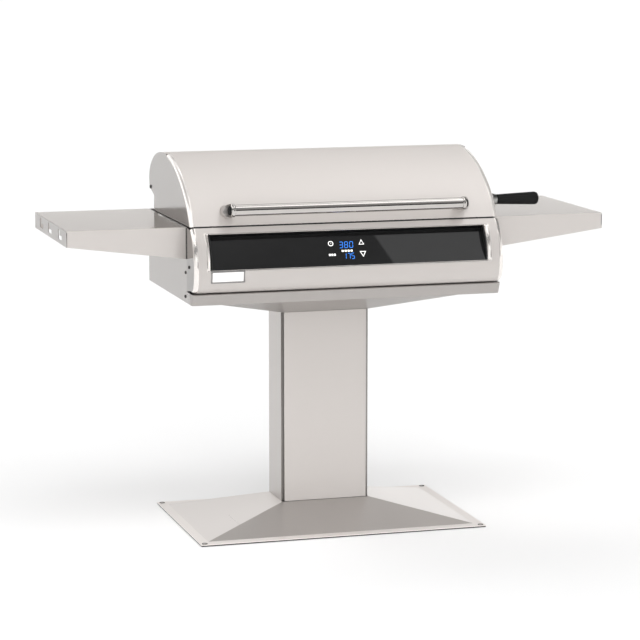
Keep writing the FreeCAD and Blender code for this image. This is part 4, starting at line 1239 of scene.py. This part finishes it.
def shelf(sgn, side):
    ZI, ZO = 791.4, 834.6
    parts = []
    T = 2.0
    backs = (-117.0, 31.0, 156.0)
    cuts = [SHELF_Y0] + [yb - 9.0 for yb in backs] + [SHELF_Y1]
    # one folded sheet: the top, front, back, outer and inner flanges as a welded skin with thickness
    v, f, fm = [], [], []
    X0, X1, Y0, Y1, Z1 = BODY_X + 0.0, SHELF_X, SHELF_Y0, SHELF_Y1, SHELF_Z
    nx, ny = 8, len(cuts) - 1
    for y in cuts:
        for i in range(nx + 1):
            v.append((X0 + (X1 - X0) * i / nx, y, Z1))
    f += grid_faces(ny + 1, nx + 1)
    fm += [0] * len(f)

    def quad(pts, k):
        b = len(v)
        v.extend(pts)
        f.append(tuple(range(b, b + len(pts))))
        fm.append(k)

    def strip(fixed_y, flip):
        b = len(v)
        for i in range(nx + 1):
            x = X0 + (X1 - X0) * i / nx
            zb = ZI + (ZO - ZI) * i / nx
            xe = X1 - 2.4 if i == nx else x
            v.append((x, fixed_y, Z1))
            v.append((xe, fixed_y, Z1 - 5.0))
            v.append((xe, fixed_y, zb))
        for i in range(nx):
            for j in (0, 1):
                q = (b + 3 * i + j, b + 3 * i + 1 + j, b + 3 * i + 4 + j, b + 3 * i + 3 + j)
                f.append(q[::-1] if flip else q)
                fm.append(1)

    strip(Y0, False)
    strip(Y1, True)
    # outer flange with the slots
    for k in range(ny):
        c0, c1 = cuts[k], cuts[k + 1]
        face = [(c0, ZO), (c1, ZO)]
        if k < ny - 1:
            yb = backs[k]
            face += [(c1, 845.0), (yb - 46.5, 845.0), (yb - 48.0, 846.5), (yb - 48.0, 855.5), (yb - 46.5, 857.0), (yb - 18.0, 857.0),
                     (yb - 18.0, 871.5), (yb - 16.5, 873.0), (c1, 873.0)]
        face += [(c1, Z1), (c0, Z1)]
        if k > 0:
            yb = backs[k - 1]
            face += [(c0, 873.0), (yb - 1.5, 873.0), (yb, 871.5), (yb, 846.5), (yb - 1.5, 845.0), (c0, 845.0)]
        # painted shade: the left shelf's outer end takes a darker copy of the sheet
        quad([(X1, y, z) for y, z in face], 3 if sgn < 0 else 2)
    # inner flange against the body
    quad([(X0, y, Z1) for y in cuts] + [(X0, Y1, ZI), (X0, Y0, ZI)], 2)
    if sgn < 0:
        v2, f2 = flipx(v, f)
    else:
        v2, f2 = v, f

    def edge_w(e):
        if len(e.link_faces) != 2 or e.calc_face_angle(0.0) < math.radians(60):
            return 0.0
        # the front flange turns towards the body on a wide radius, the other folds are tight
        turn_in = all(abs(abs(q.co.x) - X0 * MM) < 1e-5 and abs(q.co.y - Y0 * MM) < 1e-5 for q in e.verts)
        return 1.0 if turn_in else 0.19

    ob = piece("shelf_folded_" + side, v2, f2, ["sheet_shelf", "sheet_flange", "sheet_flange", "sheet_shelf_end"], slot="stainless_sheet",
               replaces="shelf_" + side, face_mat=fm, weights=edge_w, bevel=8.0, seg=5)
    ob.modifiers.remove(ob.modifiers["normals"])
    m = ob.modifiers.new("thickness", "SOLIDIFY")
    m.thickness, m.offset, m.use_even_offset = T * MM, -1.0, True
    m = ob.modifiers.new("edge", "BEVEL")
    m.width, m.segments, m.limit_method, m.angle_limit = 0.4 * MM, 2, "ANGLE", math.radians(60)
    m = ob.modifiers.new("normals", "WEIGHTED_NORMAL")
    m.mode, m.weight = "FACE_AREA", 50
    # dark strip in the open corner seams, a little below both faces: painted shade inside the seams
    fill = [prism([(y, z) for y, z in ((ya, ZO + 0.6), (yb, ZO + 0.6), (yb, Z1 - 5.2), (ya, Z1 - 5.2))], *sorted((sgn * (X1 - 2.9), sgn * (X1 - 0.35))), "X")
            for ya, yb in ((Y0 + 0.35, Y0 + 2.2), (Y1 - 2.2, Y1 - 0.35))]
    solid("shelf_corner_shade_strip_" + side, join(fill), "foot_dark", slot="stainless_sheet", bevel=0.1, seg=1)
    # thin gasket line where the front flange meets the body
    solid("shelf_gasket_" + side, prism([(Y0 - 0.3, ZI + 0.8), (Y0 + 3.0, ZI + 0.8), (Y0 + 3.0, Z1 - 2.0), (Y0 - 0.3, Z1 - 2.0)],
                                        *sorted((sgn * (X0 + 0.1), sgn * (X0 + 1.9))), "X"), "rubber", slot="rubber", bevel=0.2, seg=1)
    return ob


shelf(-1, "left")
shelf(1, "right")

# ---------------------------------------------------------------------------
# CAD nodes that stay take procedural finishes
# ---------------------------------------------------------------------------
KEEP = {
    "base_plate": "foot_dark", "inner_post_left": "galv", "inner_post_right": "galv", "foot_bolts": "zinc", "saddle_bolts": "zinc",
    "saddle_plate": "galv", "body_floor": "inner", "rear_panel": "sheet_x", "firebox_tub": "inner", "front_rail": "inner",
    "grid_rests": "inner", "cooking_grid_left": "rod", "cooking_grid_right": "rod", "heating_element_left": "sheath",
    "heating_element_right": "sheath", "element_supports": "inner", "element_bushings": "ceramic", "temperature_sensor": "rod",
    "drip_tray": "inner", "tray_rails": "galv", "display_board": "board", "control_box": "galv", "power_board": "board",
    "hood_lining": "inner", "handle_screws": "zinc", "grip_stud": "zinc", "hinge_bracket_left": "inner",
    "hinge_bracket_right": "inner", "cord_gland": "plastic",
}
for node, mat in KEEP.items():
    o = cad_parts.get(node)
    if o is None:
        continue
    for s in o.material_slots:
        s.link = "OBJECT"
        s.material = M[mat]

# ---------------------------------------------------------------------------
# stage, light, camera
# ---------------------------------------------------------------------------


def stage_material(name, value, emit=0.0):
    g = Nodes(name)
    nse = g.noise(g.coords(), 0.4, 2.0, 0.5)
    g.set(Base_Color=g.ramp(nse, [(0.3, (value * 0.995,) * 3), (0.7, (value,) * 3)]), Roughness=0.9, Specular_IOR_Level=0.0)
    if emit:
        g.set(Emission_Color=(1.0, 1.0, 1.0), Emission_Strength=emit)
    return g.m


def disc(name, r, z, mat):
    me = bpy.data.meshes.new(name)
    k = 96
    me.from_pydata([(r * math.cos(2 * math.pi * i / k), r * math.sin(2 * math.pi * i / k), z) for i in range(k)], [], [tuple(range(k))])
    me.materials.append(mat)
    o = bpy.data.objects.new(name, me)
    bpy.context.scene.collection.objects.link(o)
    return o


FLOOR_SEEN, FLOOR_MIRRORED = 0.87, 0.80
o = disc("floor", 45.0, -0.0008, stage_material("floor_pale", FLOOR_SEEN))
o.visible_glossy = False
o.visible_shadow = False
o = disc("floor_mirrored", 45.0, -0.0016, stage_material("floor_mirrored", FLOOR_MIRRORED))
o.visible_camera = False
o.visible_diffuse = False
o.visible_shadow = False
o.visible_transmission = False

bm = bmesh.new()
bmesh.ops.create_uvsphere(bm, u_segments=64, v_segments=32, radius=52.0)
me = bpy.data.meshes.new("backdrop")
bm.to_mesh(me)
bm.free()
bd = bpy.data.objects.new("backdrop", me)
bpy.context.scene.collection.objects.link(bd)
me.materials.append(stage_material("backdrop_pale", 0.9, 1.2))
bd.visible_glossy = bd.visible_diffuse = bd.visible_shadow = bd.visible_transmission = bd.visible_volume_scatter = False

# studio surroundings, by direction: bright all round, a darker wall behind the camera and low at the sides
w = bpy.data.worlds.new("studio")
bpy.context.scene.world = w
w.use_nodes = True
t = w.node_tree
t.nodes.clear()


def nd(kind, **kw):
    n_ = t.nodes.new("ShaderNode" + kind)
    for k_, v_ in kw.items():
        setattr(n_, k_, v_)
    return n_


def wm(op, a, b=None, c=None):
    n_ = nd("Math", operation=op)
    for i, v_ in enumerate((a, b, c)):
        if v_ is None:
            continue
        if isinstance(v_, (int, float)):
            n_.inputs[i].default_value = v_
        else:
            t.links.new(v_, n_.inputs[i])
    return n_.outputs[0]


def step(val, a, b, lo=0.0, hi=1.0):
    n_ = nd("MapRange", interpolation_type="SMOOTHSTEP")
    for k_, v_ in zip(("From Min", "From Max", "To Min", "To Max"), (a, b, lo, hi)):
        if isinstance(v_, (int, float)):
            n_.inputs[k_].default_value = v_
        else:
            t.links.new(v_, n_.inputs[k_])
    t.links.new(val, n_.inputs["Value"])
    return n_.outputs[0]


tc = nd("TexCoord")
sep = nd("SeparateXYZ")
t.links.new(tc.outputs["Generated"], sep.inputs[0])
dx, dy, dz = sep.outputs
DEG = 180.0 / math.pi
az = wm("MULTIPLY", wm("ARCTAN2", dx, wm("MULTIPLY", dy, -1.0)), DEG)      # 0 at the front, + to the right
el = wm("MULTIPLY", wm("ARCSINE", dz), DEG)
aaz = wm("ABSOLUTE", az)
PANEL_N = (0.85224, 0.52149, 0.04164)
PANEL_LEVEL = 1.15
# brightness of the surroundings by direction: for each band of height above the horizon, the azimuth edges
# (degrees, 0 at the front, + to the right) and the level between them; soft boxes, dark flags and open walls
SKY = [
    (0, (-180, -150, -120, -90, -68, -46, -28, -8, 12, 32, 55, 80, 110, 145, 180),
     (0.97, 0.65, 0.62, 0.73, 0.89, 1.01, 0.84, 0.16, 0.00, 0.94, 1.30, 1.40, 1.65, 2.27)),
    (5, (-180, -150, -120, -90, -68, -46, -28, -8, 12, 32, 55, 80, 110, 145, 180),
     (0.12, 0.17, 0.00, 0.42, 0.78, 0.97, 0.86, 0.32, 0.00, 0.88, 1.09, 0.81, 0.66, 0.36)),
    (12, (-180, -150, -120, -90, -68, -46, -28, -8, 12, 32, 55, 80, 110, 145, 180),
     (0.80, 0.71, 0.37, 0.12, 0.31, 1.14, 1.10, 0.65, 0.20, 0.68, 0.54, 0.35, 0.47, 0.79)),
    (21, (-180, -150, -120, -90, -68, -46, -28, -8, 12, 32, 55, 80, 110, 145, 180),
     (1.36, 1.47, 1.13, 0.61, 0.00, 0.00, 0.30, 0.50, 0.26, 0.44, 0.20, 0.01, 0.22, 0.76)),
    (30, (-180, -150, -120, -90, -68, -46, -28, -8, 12, 32, 55, 80, 110, 145, 180),
     (1.20, 2.08, 1.77, 1.25, 0.57, 0.00, 0.00, 0.11, 0.37, 0.43, 0.00, 0.00, 0.00, 0.27)),
    (42, (-180, -135, -90, -46, -8, 32, 80, 135, 180),
     (0.72, 1.27, 1.38, 1.16, 0.29, 0.00, 0.00, 0.79)),
    (52, (-180, -135, -90, -46, -8, 32, 80, 135, 180),
     (0.38, 0.55, 1.32, 1.30, 0.55, 0.46, 0.00, 1.53)),
    (62, (-180, -135, -90, -46, -8, 32, 80, 135, 180),
     (0.00, 0.10, 0.81, 0.98, 1.23, 2.31, 1.41, 0.85)),
    (70, (-180, -90, 0, 90, 180),
     (0.00, 0.00, 1.17, 0.59)),
]
turn = wm("DIVIDE", wm("ADD", az, 180.0), 360.0)
val = None
for e0, edges, levels in SKY:
    cr = nd("ValToRGB")
    stops = [(0.0, levels[0])]
    for e_, l0, l1 in zip(edges[1:-1], levels[:-1], levels[1:]):
        stops += [((e_ + 178.5) / 360.0, l0), ((e_ + 181.5) / 360.0, l1)]
    stops.append((1.0, levels[-1]))
    while len(cr.color_ramp.elements) < len(stops):
        cr.color_ramp.elements.new(0.5)
    for el_, (pos, lv) in zip(cr.color_ramp.elements, stops):
        el_.position = pos
        el_.color = (lv / 4.0, lv / 4.0, lv / 4.0, 1.0)
    t.links.new(turn, cr.inputs[0])
    lv = wm("MULTIPLY", cr.outputs[0], 4.0)
    if val is None:
        val = lv
    else:
        k_ = step(el, e0 - 1.0, e0 + 1.0)
        val = wm("ADD", wm("MULTIPLY", val, wm("SUBTRACT", 1.0, k_)), wm("MULTIPLY", lv, k_))
# slanting edge of a lit panel, high at the front right, that the glass shows
plane = wm("ADD", wm("ADD", wm("MULTIPLY", dx, PANEL_N[0]), wm("MULTIPLY", dy, PANEL_N[1])), wm("MULTIPLY", dz, PANEL_N[2]))
box_ = wm("MULTIPLY", step(plane, -0.0006, 0.0006), wm("MULTIPLY", step(az, 15.0, 17.0), step(az, 46.0, 44.0)))
box_ = wm("MULTIPLY", box_, wm("MULTIPLY", step(el, 40.0, 42.0), step(el, 60.0, 58.0)))
val = wm("ADD", wm("MULTIPLY", val, wm("SUBTRACT", 1.0, box_)), wm("MULTIPLY", box_, PANEL_LEVEL))
bg = nd("Background")
comb = nd("CombineColor")
for i in range(3):
    t.links.new(val, comb.inputs[i])
t.links.new(comb.outputs[0], bg.inputs["Color"])
bg.inputs["Strength"].default_value = 1.0
wo = nd("OutputWorld")
t.links.new(bg.outputs[0], wo.inputs["Surface"])


def area(name, loc, target, size, power, glossy=False):
    la = bpy.data.lights.new(name, "AREA")
    la.shape = "DISK"
    la.size = size
    la.energy = power
    ob_ = bpy.data.objects.new(name, la)
    bpy.context.scene.collection.objects.link(ob_)
    ob_.location = loc
    d = Vector(target) - Vector(loc)
    ob_.rotation_mode = "QUATERNION"
    ob_.rotation_quaternion = d.to_track_quat("-Z", "Y")
    ob_.visible_glossy = glossy
    ob_.visible_camera = False
    return ob_


area("overhead_soft", (1.5, -2.5, 6.0), (0, 0, 0.3), 7.0, 41.8)

# broad soft fills that act on the satin haze only: name, azimuth, height, strength
for nm, a_, e_, k_ in (("fill_1", -16, 8, 1.73),
                       ("fill_2", 50, 25, 0.52),
                       ("fill_3", -95, 20, 0.14),
                       ("fill_4", 0, 50, 0.87),
                       ("fill_5", -150, 40, 0.57)):
    sun = bpy.data.lights.new(nm, "SUN")
    sun.energy = k_
    sun.angle = math.radians(50)
    so = bpy.data.objects.new(nm, sun)
    bpy.context.scene.collection.objects.link(so)
    ar, er = math.radians(a_), math.radians(e_)
    so.rotation_mode = "QUATERNION"
    so.rotation_quaternion = Vector((-math.sin(ar) * math.cos(er), math.cos(ar) * math.cos(er), -math.sin(er))).to_track_quat("-Z", "Y")
    so.visible_glossy = False

cam = bpy.data.cameras.new("camera")
co = bpy.data.objects.new("camera", cam)
bpy.context.scene.collection.objects.link(co)
bpy.context.scene.camera = co
cam.sensor_width = 36.0
cam.lens = 2597.387 / 640.0 * 36.0
cam.clip_start, cam.clip_end = 0.1, 200.0
co.location = (-2.0631, -7.0179, 1.7303)
co.rotation_euler = (math.radians(90.0 - 9.0126), 0.0, math.radians(-16.4167))

sc = bpy.context.scene
sc.view_settings.view_transform = "Standard"
sc.view_settings.look = "None"
sc.view_settings.exposure = 0.0
sc.view_settings.gamma = 1.0
